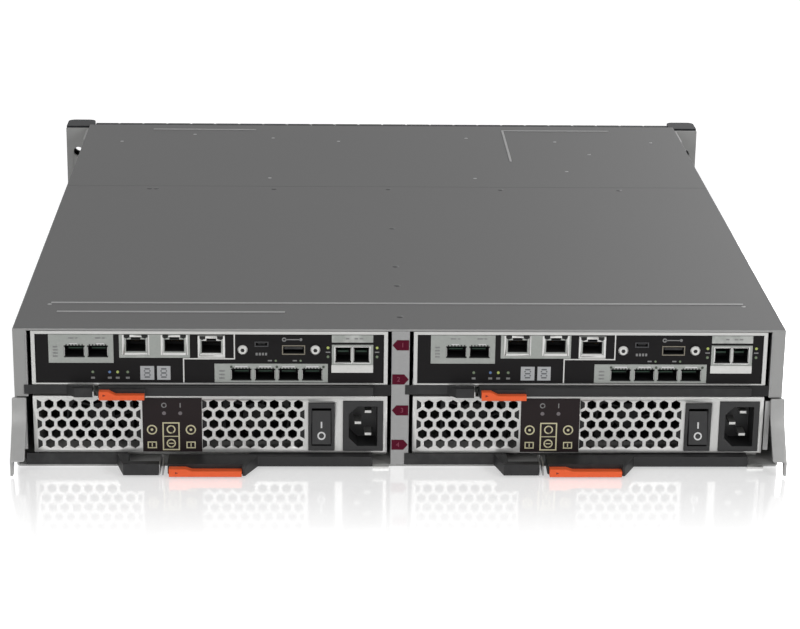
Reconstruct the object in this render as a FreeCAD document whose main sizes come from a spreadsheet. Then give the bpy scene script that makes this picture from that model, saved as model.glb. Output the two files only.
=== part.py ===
import FreeCAD, Part
import os
import re

import Sketcher

# Storage array, two units high: 24 drives in front, two controller canisters
# above two power and fan canisters behind.
# Millimetres. +Z up, -Y is the rear with the canisters, +Y is the front with the drives.
# The origin is the centre of the underside of the base.

SIZES = {
    # Chassis
    "chassis_width": 447,
    "chassis_height": 85,
    "chassis_depth": 484,
    "sheet": 1.2,
    "cover_sheet": 1.2,
    "bend_radius": 1.6,
    "front_cover_depth": 175,
    "seam_gap": 0.4,
    "bead_height": 0.4,
    "bead_width": 1.6,
    "rear_bead_setback": 46.6,
    "rear_bead_inset": 17.5,
    "short_bead_setback": 29.8,
    "short_bead_inset": 22.5,
    "short_bead_length": 133.6,
    "front_bead_setback": 15,
    "front_bead_inset": 49.5,
    "front_bead_length": 77.5,
    "corner_bead_inset": 51.5,
    "corner_bead_length": 82,
    "corner_bead_depth": 90,
    "flange_width": 8,
    "flange_drop": 0.6,
    "divider_width": 10.4,
    "divider_sheet": 1,
    "divider_notch": 4,
    "shelf_sheet": 0.8,
    "shelf_gap": 0.3,
    "shelf_setback": 15,
    "seat_gap": 0.3,
    "fit_gap": 0.1,
    # Midplane
    "drive_bay_depth": 144,
    "board_thickness": 2.4,
    "drive_plug_width": 6,
    "drive_plug_rise": 9.6,
    "drive_plug_height": 42,
    "plug_length": 10,
    "canister_plug_width": 60,
    "canister_plug_height": 12,
    "controller_plug_rise": 6,
    "power_plug_rise": 10,
    "board_vent_count": 6,
    "board_vent_width": 40,
    "board_vent_low": 58,
    "board_vent_height": 18,
    "board_vent_pitch": 70,
    # Drive bay
    "drive_count": 24,
    "drive_pitch": 18.4,
    "guide_width": 0.8,
    "guide_height": 1,
    "cage_sheet": 1,
    "bezel_reach": 16,
    "bezel_thickness": 20,
    "drive_setback": 12,
    "rail_height": 4.8,
    "ssd_length": 100,
    "ssd_thickness": 15,
    "handle_width": 12,
    "handle_thickness": 3,
    "handle_bottom": 22,
    "handle_top_gap": 13,
    "handle_grip": 10,
    # Rack ears and end caps
    "rack_width": 482.6,
    "ear_sheet": 2,
    "ear_setback": 2,
    "ear_flange": 36,
    "ear_bottom": 2,
    "ear_top_gap": 2,
    "hole_inset": 8.75,
    "hole_spacing_up": 44.45,
    "rack_hole_low": 20.3,
    "rack_hole_radius": 3.5,
    "cap_depth": 22,
    "cap_overlap": 2.9,
    "cap_rise": 1,
    "cap_wall": 2,
    "cap_corner": 5,
    "driver_hole_radius": 5.5,
    # Rear lugs
    "lug_drop": 1,
    "lug_sheet": 1.6,
    "lug_width": 8.4,
    "lug_out": 1.6,
    "lug_reach": 20,
    "lug_foot": 10.5,
    "lug_tip": 1.4,
    "lug_bow": 30,
    # Canisters
    "divider_gap": 2.3,
    "side_gap": 10.4,
    "canister_gap": 0.3,
    "rim_side": 2.2,
    "lever_recess": 15,
    "recess_height": 5.8,
    "pivot_inset": 14.8,
    "pivot_setback": 4.5,
    "pin_radius": 2,
    "pin_clearance": 0.06,
    "lever_clearance": 0.3,
    # Controller canister
    "controller_height": 38.4,
    "rim_top": 1.8,
    "rim_bottom": 0.9,
    "plate_setback": 0.8,
    "plate_thickness": 1.6,
    "port_depth": 14,
    "port_wall": 1,
    "jack_width": 11.4,
    "jack_height": 7.4,
    "jack_notch_width": 5.6,
    "jack_notch": 1.6,
    # Connector shells: from the canister's middle, and up from its bottom
    "card_left": -92.9,
    "card_low": 18.7,
    "card_width": 37.4,
    "card_height": 17.4,
    "card_mouth_1": -78,
    "card_mouth_2": -64.6,
    "card_mouth_low": 22.1,
    "card_mouth_width": 11.9,
    "card_mouth_height": 7.2,
    "network_left": -52.3,
    "network_low": 21.9,
    "network_width": 40.8,
    "network_height": 14.2,
    "network_mouth_1": -42.6,
    "network_mouth_2": -20.4,
    "network_mouth_low": 25.7,
    "management_left": -7,
    "management_low": 21.9,
    "management_width": 15.8,
    "management_height": 13.6,
    "management_mouth_1": 0.9,
    "management_mouth_low": 24.9,
    "cable_left": 2.5,
    "cable_low": 6.9,
    "cable_width": 65.7,
    "cable_height": 11.5,
    "cable_mouth_1": 18,
    "cable_mouth_2": 31.8,
    "cable_mouth_3": 45.4,
    "cable_mouth_4": 59.1,
    "cable_mouth_low": 8,
    "cable_mouth_width": 11.9,
    "cable_mouth_height": 7.3,
    "expansion_left": 70.4,
    "expansion_low": 13.1,
    "expansion_width": 24,
    "expansion_height": 17,
    "expansion_mouth_1": 77,
    "expansion_mouth_2": 87.6,
    "expansion_mouth_low": 19.3,
    "expansion_mouth_width": 9.4,
    "expansion_mouth_height": 9.4,
    "wide_bus_left": 41.6,
    "wide_bus_low": 23.9,
    "wide_bus_width": 13.4,
    "wide_bus_height": 5.8,
    "wide_bus_mouth_1": 48.3,
    "wide_bus_mouth_low": 24.5,
    "wide_bus_mouth_width": 12.2,
    "wide_bus_mouth_height": 4.6,
    "small_bus_left": 25.8,
    "small_bus_low": 28.7,
    "small_bus_width": 8,
    "small_bus_height": 3.2,
    "small_bus_mouth_1": 29.8,
    "small_bus_mouth_low": 29.3,
    "small_bus_mouth_width": 6.8,
    "small_bus_mouth_height": 2,
    # Controller board
    "main_board": 1.6,
    "board_setback": 18,
    "standoff": 3.6,
    "standoff_width": 6,
    "standoff_inset": 14,
    "sink_width": 60,
    "sink_depth": 70,
    "sink_height": 24,
    "sink_base": 3,
    "fin_count": 7,
    "fin_thickness": 1.2,
    # Power canister
    "case_wall": 1,
    "face_sheet": 1.2,
    "face_rim_bottom": 7.2,
    "hole_pitch": 7.05,
    "hole_across": 5.2,
    "hole_rows": 5,
    "holes_in_row": 8,
    "first_row": 12.7,
    "left_grille_start": -93.5,
    "right_grille_start": 1.8,
    "switch_left": 56.9,
    "switch_width": 15.3,
    "switch_rise": 8.7,
    "switch_height": 29.6,
    "rocker_width": 10.8,
    "rocker_height": 19.6,
    "rocker_pin_radius": 1.4,
    "rocker_swing_room": 1.8,
    "rocker_setback": 4,
    "rocker_low_reach": 7.6,
    "rocker_top_reach": 4,
    "rocker_ridge_reach": 5,
    "rocker_ridge": 5.5,
    "rocker_back": 3,
    "switch_depth": 16,
    "switch_lip": 1.2,
    "inlet_left": 77.1,
    "inlet_width": 23.4,
    "inlet_rise": 8.4,
    "inlet_height": 31,
    "inlet_depth": 20,
    "inlet_lip": 1,
    "socket_width": 16.6,
    "socket_height": 24.4,
    "socket_depth": 16.5,
    "socket_chamfer": 5,
    "blade_length": 10.5,
    "blade_thickness": 1.6,
    "blade_height": 4,
    "blade_spacing": 14,
    "blade_offset": 3,
    "fan_size": 39,
    "fan_depth": 20,
    "fan_setback": 20,
    "fan_bore_radius": 18.4,
    "fan_tip_radius": 17.4,
    "fan_hub_radius": 8,
    "fan_hub_depth": 12,
    "fan_cap": 1,
    "fan_blades": 5,
    "fan_blade_lean": 6,
    "fan_blade_thickness": 1.2,
    "fan_shaft_radius": 1.5,
    "fan_strut": 4,
    "fan_plate": 2,
    "left_fan": -66,
    "right_fan": 26,
    # Levers, grips and latches: across from the canister's left edge, out from its rear
    "grip_overhang": 4.7,
    "grip_wall": 5,
    "grip_ramp": 5,
    "grip_foot": 0.5,
    "bar_back": 1.5,
    "nose_tip": 6.5,
    "nose_flat": 4,
    "nose_root": 8,
    "nose_back": 6,
    "lever_wall": 1.6,
    "lever_heel": 1,
    "lever_ramp": 7,
    "latch_inset": 1,
    "latch_ramp": 4,
    "latch_round": 0.9,
    "controller_grip_step": 19.8,
    "controller_grip_end": 35.3,
    "controller_grip_reach": 6.3,
    "controller_lever_start": 38.3,
    "controller_lever_seat": 7.2,
    "controller_bar_front": 4,
    "controller_latch_end": 65.3,
    "controller_latch_height": 5.4,
    "controller_latch_slope": 2.2,
    "controller_latch_step": 5.5,
    "controller_reach": 11.5,
    "power_grip_step": 47.8,
    "power_grip_end": 73.3,
    "power_grip_reach": 18,
    "power_lever_start": 78.3,
    "power_lever_seat": 16.5,
    "power_bar_front": 5,
    "power_latch_end": 121.3,
    "power_latch_height": 5,
    "power_latch_slope": 1.3,
    "power_latch_step": 9.5,
    "power_reach": 21.5,
}

# Sizes that follow from the others
WORKED_OUT = {
    "midplane_rear": "chassis_depth / 2 - drive_bay_depth",
    "cover_seam": "chassis_depth / 2 - front_cover_depth",
    "bezel_front": "chassis_depth / 2 + bezel_reach",
    "ear_front": "chassis_depth / 2 - ear_setback",
    "ear_top": "chassis_height - ear_top_gap",
    "hole_spacing_across": "rack_width - 2 * hole_inset",
    "cap_inner": "chassis_width / 2 - cap_overlap",
    "handle_height": "chassis_height - handle_bottom - handle_top_gap",
    "canister_width": "chassis_width / 2 - divider_width / 2 - divider_gap - side_gap",
    "canister_depth": "chassis_depth - drive_bay_depth - plug_length",
    "bay_centre": "divider_width / 2 + divider_gap + canister_width / 2",
    "controller_top": "chassis_height - cover_sheet - canister_gap",
    "controller_bottom": "controller_top - controller_height",
    "shelf_bottom": "controller_bottom - shelf_gap - shelf_sheet",
    "power_bottom": "sheet + canister_gap",
    "power_top": "shelf_bottom - shelf_gap",
    "flange_bottom": "shelf_bottom - flange_drop",
    "lug_top": "shelf_bottom - lug_drop",
    "switch_bottom": "power_bottom + switch_rise",
    "inlet_bottom": "power_bottom + inlet_rise",
}

doc = FreeCAD.newDocument("storage_array")
sheet = doc.addObject("Spreadsheet::Sheet", "Sizes")
NAMES = re.compile(r"\b(%s)\b" % "|".join([*SIZES, *WORKED_OUT]))
SIDES = (("left", -1), ("right", 1))


def fill_sheet():
    """Write every driving size, and then every size worked out from them, under its own name."""
    for row, (name, value) in enumerate([*SIZES.items(), *WORKED_OUT.items()], start=1):
        sheet.set("A%d" % row, name)
        sheet.set("B%d" % row, "=%s" % value)
        sheet.setAlias("B%d" % row, name)
        sheet.recompute()


def formula(text):
    """Turn size names in a formula into references to the sheet."""
    return NAMES.sub(r"Sizes.\1", str(text))


def tie(thing, prop, text):
    """Bind a property to a formula of the sheet."""
    thing.setExpression(prop, formula(text))


def worth(text):
    """The present value of a formula."""
    value = sheet.evalExpression(formula(text))
    return float(getattr(value, "Value", value))


def new_body(name):
    return doc.addObject("PartDesign::Body", name)


def sketch_on(body, plane, offset="0"):
    """A sketch on one of the body's own planes, moved along that plane's normal."""
    sketch = body.newObject("Sketcher::SketchObject", body.Name + "_sketch")
    support = next(item for item in body.Origin.OriginFeatures if item.Role == plane)
    sketch.AttachmentSupport = [(support, "")]
    sketch.MapMode = "FlatFace"
    tie(sketch, "AttachmentOffset.Base.z", offset)
    return sketch


def pin_down(sketch, kind, item, point, text, value):
    """Hold one point of the sketch at a distance from its origin."""
    index = sketch.addConstraint(Sketcher.Constraint(kind, -1, 1, item, point, value))
    tie(sketch, "Constraints[%d]" % index, text)


def outline(sketch, corners):
    """A closed outline through corners given as pairs of formulas."""
    places = [FreeCAD.Vector(worth(across), worth(up), 0) for across, up in corners]
    first = sketch.GeometryCount
    count = len(places)
    for index in range(count):
        sketch.addGeometry(Part.LineSegment(places[index], places[(index + 1) % count]), False)
    for index in range(count):
        following = first + (index + 1) % count
        sketch.addConstraint(Sketcher.Constraint("Coincident", first + index, 2, following, 1))
    for index, (across, up) in enumerate(corners):
        pin_down(sketch, "DistanceX", first + index, 1, across, places[index].x)
        pin_down(sketch, "DistanceY", first + index, 1, up, places[index].y)


def rectangle(sketch, left, low, right, high):
    outline(sketch, [(left, low), (right, low), (right, high), (left, high)])


def circle(sketch, across, up, radius):
    centre = FreeCAD.Vector(worth(across), worth(up), 0)
    item = sketch.addGeometry(Part.Circle(centre, FreeCAD.Vector(0, 0, 1), worth(radius)), False)
    pin_down(sketch, "DistanceX", item, 3, across, centre.x)
    pin_down(sketch, "DistanceY", item, 3, up, centre.y)
    index = sketch.addConstraint(Sketcher.Constraint("Radius", item, worth(radius)))
    tie(sketch, "Constraints[%d]" % index, radius)


def hexagon(sketch, across, up, width):
    """A hexagon with a corner on top, given its width across the flats."""
    corners = []
    for turn in range(30, 390, 60):
        reach = "(%s) / (2 * cos(30))" % width
        corners.append((
            "(%s) + %s * cos(%d)" % (across, reach, turn),
            "(%s) + %s * sin(%d)" % (up, reach, turn),
        ))
    outline(sketch, corners)


def pad(body, sketch, length, backwards=False, both_ways=False):
    feature = body.newObject("PartDesign::Pad", body.Name + "_pad")
    feature.Profile = sketch
    feature.Reversed = backwards
    feature.Midplane = both_ways
    tie(feature, "Length", length)
    return feature


def pocket(body, sketch, length, backwards=False, both_ways=False):
    """Cut the sketch from the body, and stop if it removes nothing."""
    doc.recompute()
    before = body.Shape.Volume
    feature = body.newObject("PartDesign::Pocket", body.Name + "_pocket")
    feature.Profile = sketch
    feature.Reversed = backwards
    feature.Midplane = both_ways
    tie(feature, "Length", length)
    doc.recompute()
    if body.Shape.Volume > before - 1e-6:
        raise RuntimeError("the pocket in %s cuts nothing" % body.Name)
    return feature


def repeat(body, feature, axis, spacing, count, second_axis=None, second_spacing=None, second_count=None):
    """Repeat a feature in a row, or in rows, at a fixed pitch."""
    pattern = body.newObject("PartDesign::LinearPattern", body.Name + "_row")
    pattern.Originals = [feature]
    roles = {item.Role: item for item in body.Origin.OriginFeatures}
    pattern.Direction = (roles[axis], [""])
    pattern.Mode = "Spacing"
    tie(pattern, "Offset", spacing)
    tie(pattern, "Occurrences", count)
    if second_axis:
        pattern.Direction2 = (roles[second_axis], [""])
        pattern.Mode2 = "Spacing"
        tie(pattern, "Offset2", second_spacing)
        tie(pattern, "Occurrences2", second_count)
    body.Tip = pattern
    return pattern


def round_edges(body, radius, wanted):
    """Fillet the edges whose middle point and direction the test accepts."""
    doc.recompute()
    base = body.Tip
    names = []
    for index, edge in enumerate(base.Shape.Edges, start=1):
        if len(edge.Vertexes) < 2:
            continue
        start, end = edge.Vertexes[0].Point, edge.Vertexes[1].Point
        middle = (start + end) * 0.5
        if wanted(middle, (end - start).normalize()):
            names.append("Edge%d" % index)
    if not names:
        raise RuntimeError("%s has no such edge" % body.Name)
    feature = body.newObject("PartDesign::Fillet", body.Name + "_round")
    feature.Base = (base, names)
    tie(feature, "Radius", radius)
    return feature


def near(value, other):
    return abs(value - other) < 0.01


def group(name, members, across="0"):
    """One named sub-part made of separate pieces, set at its own place across the chassis."""
    node = doc.addObject("Part::Compound", name)
    node.Label = name
    node.Links = members
    tie(node, "Placement.Base.x", across)
    return node


REAR = "-chassis_depth / 2"
FRONT = "chassis_depth / 2"
FACE = "chassis_depth / 2"
HALF = "chassis_width / 2"
WALL_TOP = "(chassis_height - cover_sheet)"
INNER = "(chassis_width / 2 - sheet)"


# Chassis

def chassis_shell():
    """Base and side walls of one folded sheet, with a flange turned in at each rear edge."""
    body = new_body("chassis_shell")
    section = sketch_on(body, "XZ_Plane", "-chassis_depth / 2")
    outline(section, [
        ("-" + HALF, "0"), (HALF, "0"), (HALF, WALL_TOP), (INNER, WALL_TOP),
        (INNER, "sheet"), ("-" + INNER, "sheet"), ("-" + INNER, WALL_TOP), ("-" + HALF, WALL_TOP),
    ])
    pad(body, section, "chassis_depth")
    for sign in ("-", ""):
        flange = sketch_on(body, "XZ_Plane", "chassis_depth / 2")
        inner = "%s(chassis_width / 2 - flange_width)" % sign
        rectangle(flange, inner, "flange_bottom", "%s%s" % (sign, HALF), WALL_TOP)
        pad(body, flange, "sheet", backwards=True)
    half = worth(HALF)
    round_edges(body, "bend_radius", lambda middle, way: near(abs(way.y), 1)
                and near(middle.z, 0) and near(abs(middle.x), half))
    return body


def cover(name, start, end, beads):
    """A flat cover plate with raised beads, given as left, rear, right and front limits."""
    body = new_body(name)
    plate = sketch_on(body, "XY_Plane", WALL_TOP)
    rectangle(plate, "-" + HALF, start, HALF, end)
    pad(body, plate, "cover_sheet")
    for left, rear, right, front in beads:
        bead = sketch_on(body, "XY_Plane", "chassis_height")
        rectangle(bead, left, rear, right, front)
        pad(body, bead, "bead_height")
    half = worth(HALF)
    top = worth("chassis_height")
    round_edges(body, "cover_sheet / 2", lambda middle, way: near(abs(way.y), 1)
                and near(middle.z, top) and near(abs(middle.x), half))
    return body


def covers():
    rear_line = REAR + " + rear_bead_setback"
    short_line = REAR + " + short_bead_setback"
    rear_beads = [
        ("rear_bead_inset - " + HALF, rear_line, HALF + " - rear_bead_inset", rear_line + " + bead_width"),
        ("short_bead_inset - " + HALF, short_line,
         "short_bead_inset + short_bead_length - " + HALF, short_line + " + bead_width"),
    ]
    cover("rear_cover", REAR, "cover_seam - seam_gap / 2", rear_beads)
    front_line = FRONT + " - front_bead_setback"
    corner = HALF + " - corner_bead_inset - corner_bead_length"
    front_beads = [
        ("front_bead_inset - " + HALF, front_line,
         "front_bead_inset + front_bead_length - " + HALF, front_line + " + bead_width"),
        (corner, front_line, HALF + " - corner_bead_inset", front_line + " + bead_width"),
        (corner, front_line + " - corner_bead_depth", corner + " + bead_width", front_line + " + bead_width / 2"),
    ]
    cover("front_cover", "cover_seam + seam_gap / 2", FRONT, front_beads)


def centre_divider():
    """A channel that stands between the two columns of canisters, with its web to the rear."""
    body = new_body("centre_divider")
    side = "divider_width / 2"
    inner = "(divider_width / 2 - divider_sheet)"
    web = REAR + " + sheet"
    deep = "midplane_rear - seat_gap"
    plan = sketch_on(body, "XY_Plane", "sheet")
    outline(plan, [
        ("-" + side, REAR), (side, REAR), (side, deep), (inner, deep), (inner, web),
        ("-" + inner, web), ("-" + inner, deep), ("-" + side, deep),
    ])
    pad(body, plan, WALL_TOP + " - sheet")
    notch = sketch_on(body, "XZ_Plane", "chassis_depth / 2")
    rectangle(notch, inner + " - divider_sheet", "sheet", side, "sheet + divider_notch")
    pocket(body, notch, "divider_notch")
    return body


def bay_shelves():
    """A shelf in each column, between the divider and the side wall."""
    shelves = []
    for name, sign in SIDES:
        shelf = new_body("shelf_" + name)
        plan = sketch_on(shelf, "XY_Plane", "shelf_bottom")
        near_side = "%d * divider_width / 2" % sign
        far_side = "%d * %s" % (sign, INNER)
        rectangle(plan, near_side, REAR + " + shelf_setback", far_side, "midplane_rear - seat_gap")
        pad(shelf, plan, "shelf_sheet")
        shelves.append(shelf)
    return group("bay_shelves", shelves)


def midplane():
    """The board across the chassis, with a connector for each drive and for each canister."""
    body = new_body("midplane")
    board = sketch_on(body, "XZ_Plane", "-midplane_rear")
    low = "sheet + fit_gap"
    high = WALL_TOP + " - fit_gap"
    rectangle(board, "fit_gap - " + INNER, low, INNER + " - fit_gap", high)
    pad(body, board, "board_thickness", backwards=True)
    first_drive = "-(drive_count - 1) * drive_pitch / 2"
    front_face = "-(midplane_rear + board_thickness)"
    plug = sketch_on(body, "XZ_Plane", front_face)
    rectangle(plug, first_drive + " - drive_plug_width / 2", "drive_plug_rise",
              first_drive + " + drive_plug_width / 2", "drive_plug_rise + drive_plug_height")
    plugs = pad(body, plug, DRIVE_REAR + " - seat_gap - midplane_rear - board_thickness", backwards=True)
    repeat(body, plugs, "X_Axis", "drive_pitch", "drive_count")
    first_vent = "-((board_vent_count - 1) * board_vent_pitch + board_vent_width) / 2"
    vent = sketch_on(body, "XZ_Plane", "-midplane_rear")
    rectangle(vent, first_vent, "board_vent_low",
              first_vent + " + board_vent_width", "board_vent_low + board_vent_height")
    vents = pocket(body, vent, DRIVE_REAR + " - midplane_rear")
    repeat(body, vents, "X_Axis", "board_vent_pitch", "board_vent_count")
    canister_end = REAR + " + canister_depth + seat_gap"
    for centre in ("-bay_centre", "bay_centre"):
        for low_edge in ("controller_bottom + controller_plug_rise", "power_bottom + power_plug_rise"):
            socket = sketch_on(body, "XZ_Plane", "-midplane_rear")
            rectangle(socket, centre + " - canister_plug_width / 2", low_edge,
                      centre + " + canister_plug_width / 2", low_edge + " + canister_plug_height")
            pad(body, socket, "midplane_rear - (%s)" % canister_end)
    return body


DRIVE_REAR = "(midplane_rear + drive_setback)"
CAGE_FLOOR = "(sheet + cage_sheet)"
CAGE_ROOF = "(chassis_height - cover_sheet - cage_sheet)"


def drive_cage():
    """The frame of the drive bay, with a guide rib between each two drives, above and below."""
    body = new_body("drive_cage")
    cage_inner = "(%s - cage_sheet)" % INNER
    frame = sketch_on(body, "XZ_Plane", "-chassis_depth / 2")
    rectangle(frame, "-" + INNER, "sheet", INNER, WALL_TOP)
    rectangle(frame, "-" + cage_inner, CAGE_FLOOR, cage_inner, CAGE_ROOF)
    length = "chassis_depth / 2 - midplane_rear - board_thickness - seat_gap"
    pad(body, frame, length)
    first = "-drive_count * drive_pitch / 2"
    for low, high in ((CAGE_FLOOR, CAGE_FLOOR + " + guide_height"), (CAGE_ROOF + " - guide_height", CAGE_ROOF)):
        rib = sketch_on(body, "XZ_Plane", "-chassis_depth / 2")
        rectangle(rib, first + " - guide_width / 2", low, first + " + guide_width / 2", high)
        ribs = pad(body, rib, "chassis_depth / 2 - %s" % DRIVE_REAR)
        repeat(body, ribs, "X_Axis", "drive_pitch", "drive_count + 1")
    return body


def rack_ear(name, sign):
    """One ear: a front plate with the rack holes and a flange along the side wall."""
    body = new_body("ear_" + name)
    tip = "%d * rack_width / 2" % sign
    root = "%d * %s" % (sign, HALF)
    flange = "%d * (%s + ear_sheet)" % (sign, HALF)
    back = "ear_front - ear_sheet"
    plan = sketch_on(body, "XY_Plane", "ear_bottom")
    outline(plan, [
        (root, "ear_front"), (tip, "ear_front"), (tip, back), (flange, back),
        (flange, "ear_front - ear_flange"), (root, "ear_front - ear_flange"),
    ])
    pad(body, plan, "ear_top - ear_bottom")
    holes = sketch_on(body, "XZ_Plane", "-ear_front")
    across = "%d * hole_spacing_across / 2" % sign
    for up in ("rack_hole_low", "rack_hole_low + hole_spacing_up"):
        circle(holes, across, up, "rack_hole_radius")
    pocket(body, holes, "2 * ear_sheet", backwards=True)
    return body


def ear_cap(name, sign):
    """One moulded end cap in front of its ear: a shell open to the rear, with screw holes."""
    body = new_body("cap_" + name)
    inner = "%d * cap_inner" % sign
    outer = "%d * rack_width / 2" % sign
    back = FRONT + " + fit_gap"
    plan = sketch_on(body, "XY_Plane", "ear_bottom")
    rectangle(plan, inner, back, outer, "ear_front + cap_depth")
    pad(body, plan, "ear_top + cap_rise - ear_bottom")
    front = worth("ear_front + cap_depth")
    round_edges(body, "cap_corner", lambda middle, way: near(abs(way.z), 1)
                and near(middle.y, front))
    hollow = sketch_on(body, "XY_Plane", "ear_bottom + cap_wall")
    rectangle(hollow, "%d * (cap_inner + cap_wall)" % sign, back + " - cap_wall",
              "%d * (rack_width / 2 - cap_wall)" % sign, "ear_front + cap_depth - cap_wall * 1.5")
    pocket(body, hollow, "ear_top + cap_rise - ear_bottom - 2 * cap_wall", backwards=True)
    holes = sketch_on(body, "XZ_Plane", "-(ear_front + cap_depth)")
    across = "%d * hole_spacing_across / 2" % sign
    for up in ("rack_hole_low", "rack_hole_low + hole_spacing_up"):
        circle(holes, across, up, "driver_hole_radius")
    pocket(body, holes, "cap_depth", backwards=True)
    return body


def rear_lug(name, sign):
    """One lug: a strip that bows out to the rear, with a side web that ends in a narrow tip."""
    body = new_body("lug_" + name)
    outer = "%d * (%s + lug_out)" % (sign, HALF)
    knee = "(lug_top - (lug_top - lug_foot) / 3)"
    bulge = REAR + " - lug_reach * 0.6"
    web = sketch_on(body, "YZ_Plane", outer)
    outline(web, [
        (REAR, "lug_top"), (REAR + " - lug_sheet", "lug_top"), (REAR + " - 2 * lug_sheet", knee),
        (REAR + " - lug_reach", "lug_foot"), (REAR + " - lug_reach", "lug_tip"),
        (REAR + " - lug_reach + 3 * lug_sheet", "lug_tip"), (bulge, "lug_foot"), (REAR, knee),
    ])
    pad(body, web, "lug_sheet", backwards=sign > 0)
    strip = sketch_on(body, "YZ_Plane", outer)
    outline(strip, [
        (REAR, "lug_top"), (REAR + " - lug_sheet", "lug_top"), (REAR + " - 2 * lug_sheet", knee),
        (REAR + " - lug_reach", "lug_foot"), (REAR + " - lug_reach + lug_sheet", "lug_foot"),
        (REAR + " - lug_sheet", knee), (REAR, knee),
    ])
    pad(body, strip, "lug_width", backwards=sign > 0)
    knee_height = worth(knee)
    knee_face = worth(REAR + " - 2 * lug_sheet")
    round_edges(body, "lug_bow", lambda middle, way: near(abs(way.x), 1)
                and near(middle.z, knee_height) and near(middle.y, knee_face))
    return body


# Drives

def drive_pieces():
    """Carrier, solid-state drive and closed handle of one drive module."""
    low = CAGE_FLOOR + " + seat_gap"
    high = CAGE_ROOF + " - seat_gap"
    bezel_back = "bezel_front - bezel_thickness"
    width = "(drive_pitch - guide_width - 2 * seat_gap)"
    carrier = new_body("carrier")
    side = sketch_on(carrier, "YZ_Plane")
    outline(side, [
        ("bezel_front", low), ("bezel_front", high), (DRIVE_REAR, high),
        (DRIVE_REAR, high + " - rail_height"), (bezel_back, high + " - rail_height"),
        (bezel_back, low + " + rail_height"), (DRIVE_REAR, low + " + rail_height"), (DRIVE_REAR, low),
    ])
    pad(carrier, side, width, both_ways=True)
    seat = sketch_on(carrier, "XZ_Plane", "-bezel_front")
    rectangle(seat, "-handle_width / 2 - seat_gap", "handle_bottom - seat_gap",
              "handle_width / 2 + seat_gap", "handle_bottom + handle_height + seat_gap")
    pocket(carrier, seat, "handle_thickness + seat_gap", backwards=True)
    ssd = new_body("ssd")
    block = sketch_on(ssd, "XZ_Plane", "-" + DRIVE_REAR)
    rectangle(block, "-ssd_thickness / 2", low + " + rail_height + fit_gap",
              "ssd_thickness / 2", high + " - rail_height - fit_gap")
    pad(ssd, block, "ssd_length", backwards=True)
    handle = new_body("handle")
    plate = sketch_on(handle, "XZ_Plane", "-(bezel_front - handle_thickness)")
    rectangle(plate, "-handle_width / 2", "handle_bottom", "handle_width / 2",
              "handle_bottom + handle_height")
    pad(handle, plate, "handle_thickness", backwards=True)
    grip = sketch_on(handle, "XZ_Plane", "-bezel_front")
    rectangle(grip, "-handle_width / 2", "handle_bottom", "handle_width / 2", "handle_bottom + handle_grip")
    pocket(handle, grip, "handle_thickness / 2", backwards=True)
    return [carrier, ssd, handle]


def drives():
    pieces = drive_pieces()
    for number in range(1, int(SIZES["drive_count"]) + 1):
        across = "(%d - (drive_count + 1) / 2) * drive_pitch" % number
        group("drive_%02d" % number, pieces, across)


# Controller canister, modelled about its own middle

CAN = "(canister_width / 2)"
CONTROLLER_FACE = "(controller_bottom + recess_height)"
RECESS = REAR + " + lever_recess"
CAN_END = REAR + " + canister_depth"
PIVOT_X = "(canister_width / 2 - pivot_inset)"
PIVOT_Y = "(-chassis_depth / 2 + pivot_setback)"


def pivot_pin(body, top, length):
    """The pin of the lever, under the overhang of the canister's face."""
    pin = sketch_on(body, "XY_Plane", top)
    circle(pin, PIVOT_X, PIVOT_Y, "pin_radius")
    pad(body, pin, length, backwards=True)


def stepped_side(sketch, low, step, high):
    """The side of a canister, cut back at its foot to make room for the lever."""
    outline(sketch, [
        (REAR, step), (RECESS, step), (RECESS, low), (CAN_END, low), (CAN_END, high), (REAR, high),
    ])


def controller_tray():
    body = new_body("tray")
    side = sketch_on(body, "YZ_Plane")
    stepped_side(side, "controller_bottom", CONTROLLER_FACE, "controller_top")
    pad(body, side, "canister_width", both_ways=True)
    inside = sketch_on(body, "YZ_Plane")
    outline(inside, [
        (REAR + " - rim_side", CONTROLLER_FACE + " + rim_bottom"),
        (RECESS + " + rim_side", CONTROLLER_FACE + " + rim_bottom"),
        (RECESS + " + rim_side", "controller_bottom + rim_bottom"),
        (CAN_END + " - rim_side", "controller_bottom + rim_bottom"),
        (CAN_END + " - rim_side", "controller_top - rim_top"),
        (REAR + " - rim_side", "controller_top - rim_top"),
    ])
    pocket(body, inside, "canister_width - 2 * rim_side", both_ways=True)
    pivot_pin(body, CONTROLLER_FACE, "recess_height - fit_gap")
    return body


def jack_mouth(centre, low):
    """The stepped mouth of a modular network jack, with the tab's notch above."""
    left = "%s - jack_width / 2" % centre
    right = "%s + jack_width / 2" % centre
    notch_left = "%s - jack_notch_width / 2" % centre
    notch_right = "%s + jack_notch_width / 2" % centre
    step = "%s + jack_height" % low
    top = step + " + jack_notch"
    return [(left, low), (right, low), (right, step), (notch_right, step),
            (notch_right, top), (notch_left, top), (notch_left, step), (left, step)]


def square_mouth(centre, low, width, height):
    left = "%s - %s / 2" % (centre, width)
    right = "%s + %s / 2" % (centre, width)
    high = "%s + %s" % (low, height)
    return [(left, low), (right, low), (right, high), (left, high)]


# Each connector shell, with its number of mouths. The jacks have stepped mouths.
SHELLS = (("card", 2), ("network", 2), ("management", 1), ("cable", 4), ("expansion", 2),
          ("wide_bus", 1), ("small_bus", 1))
JACKS = ("network", "management")


def shell_edges(name):
    """Left, bottom, right and top of a shell, as formulas."""
    low = "(controller_bottom + %s_low)" % name
    return (name + "_left", low, "(%s_left + %s_width)" % (name, name), "(%s + %s_height)" % (low, name))


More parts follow.
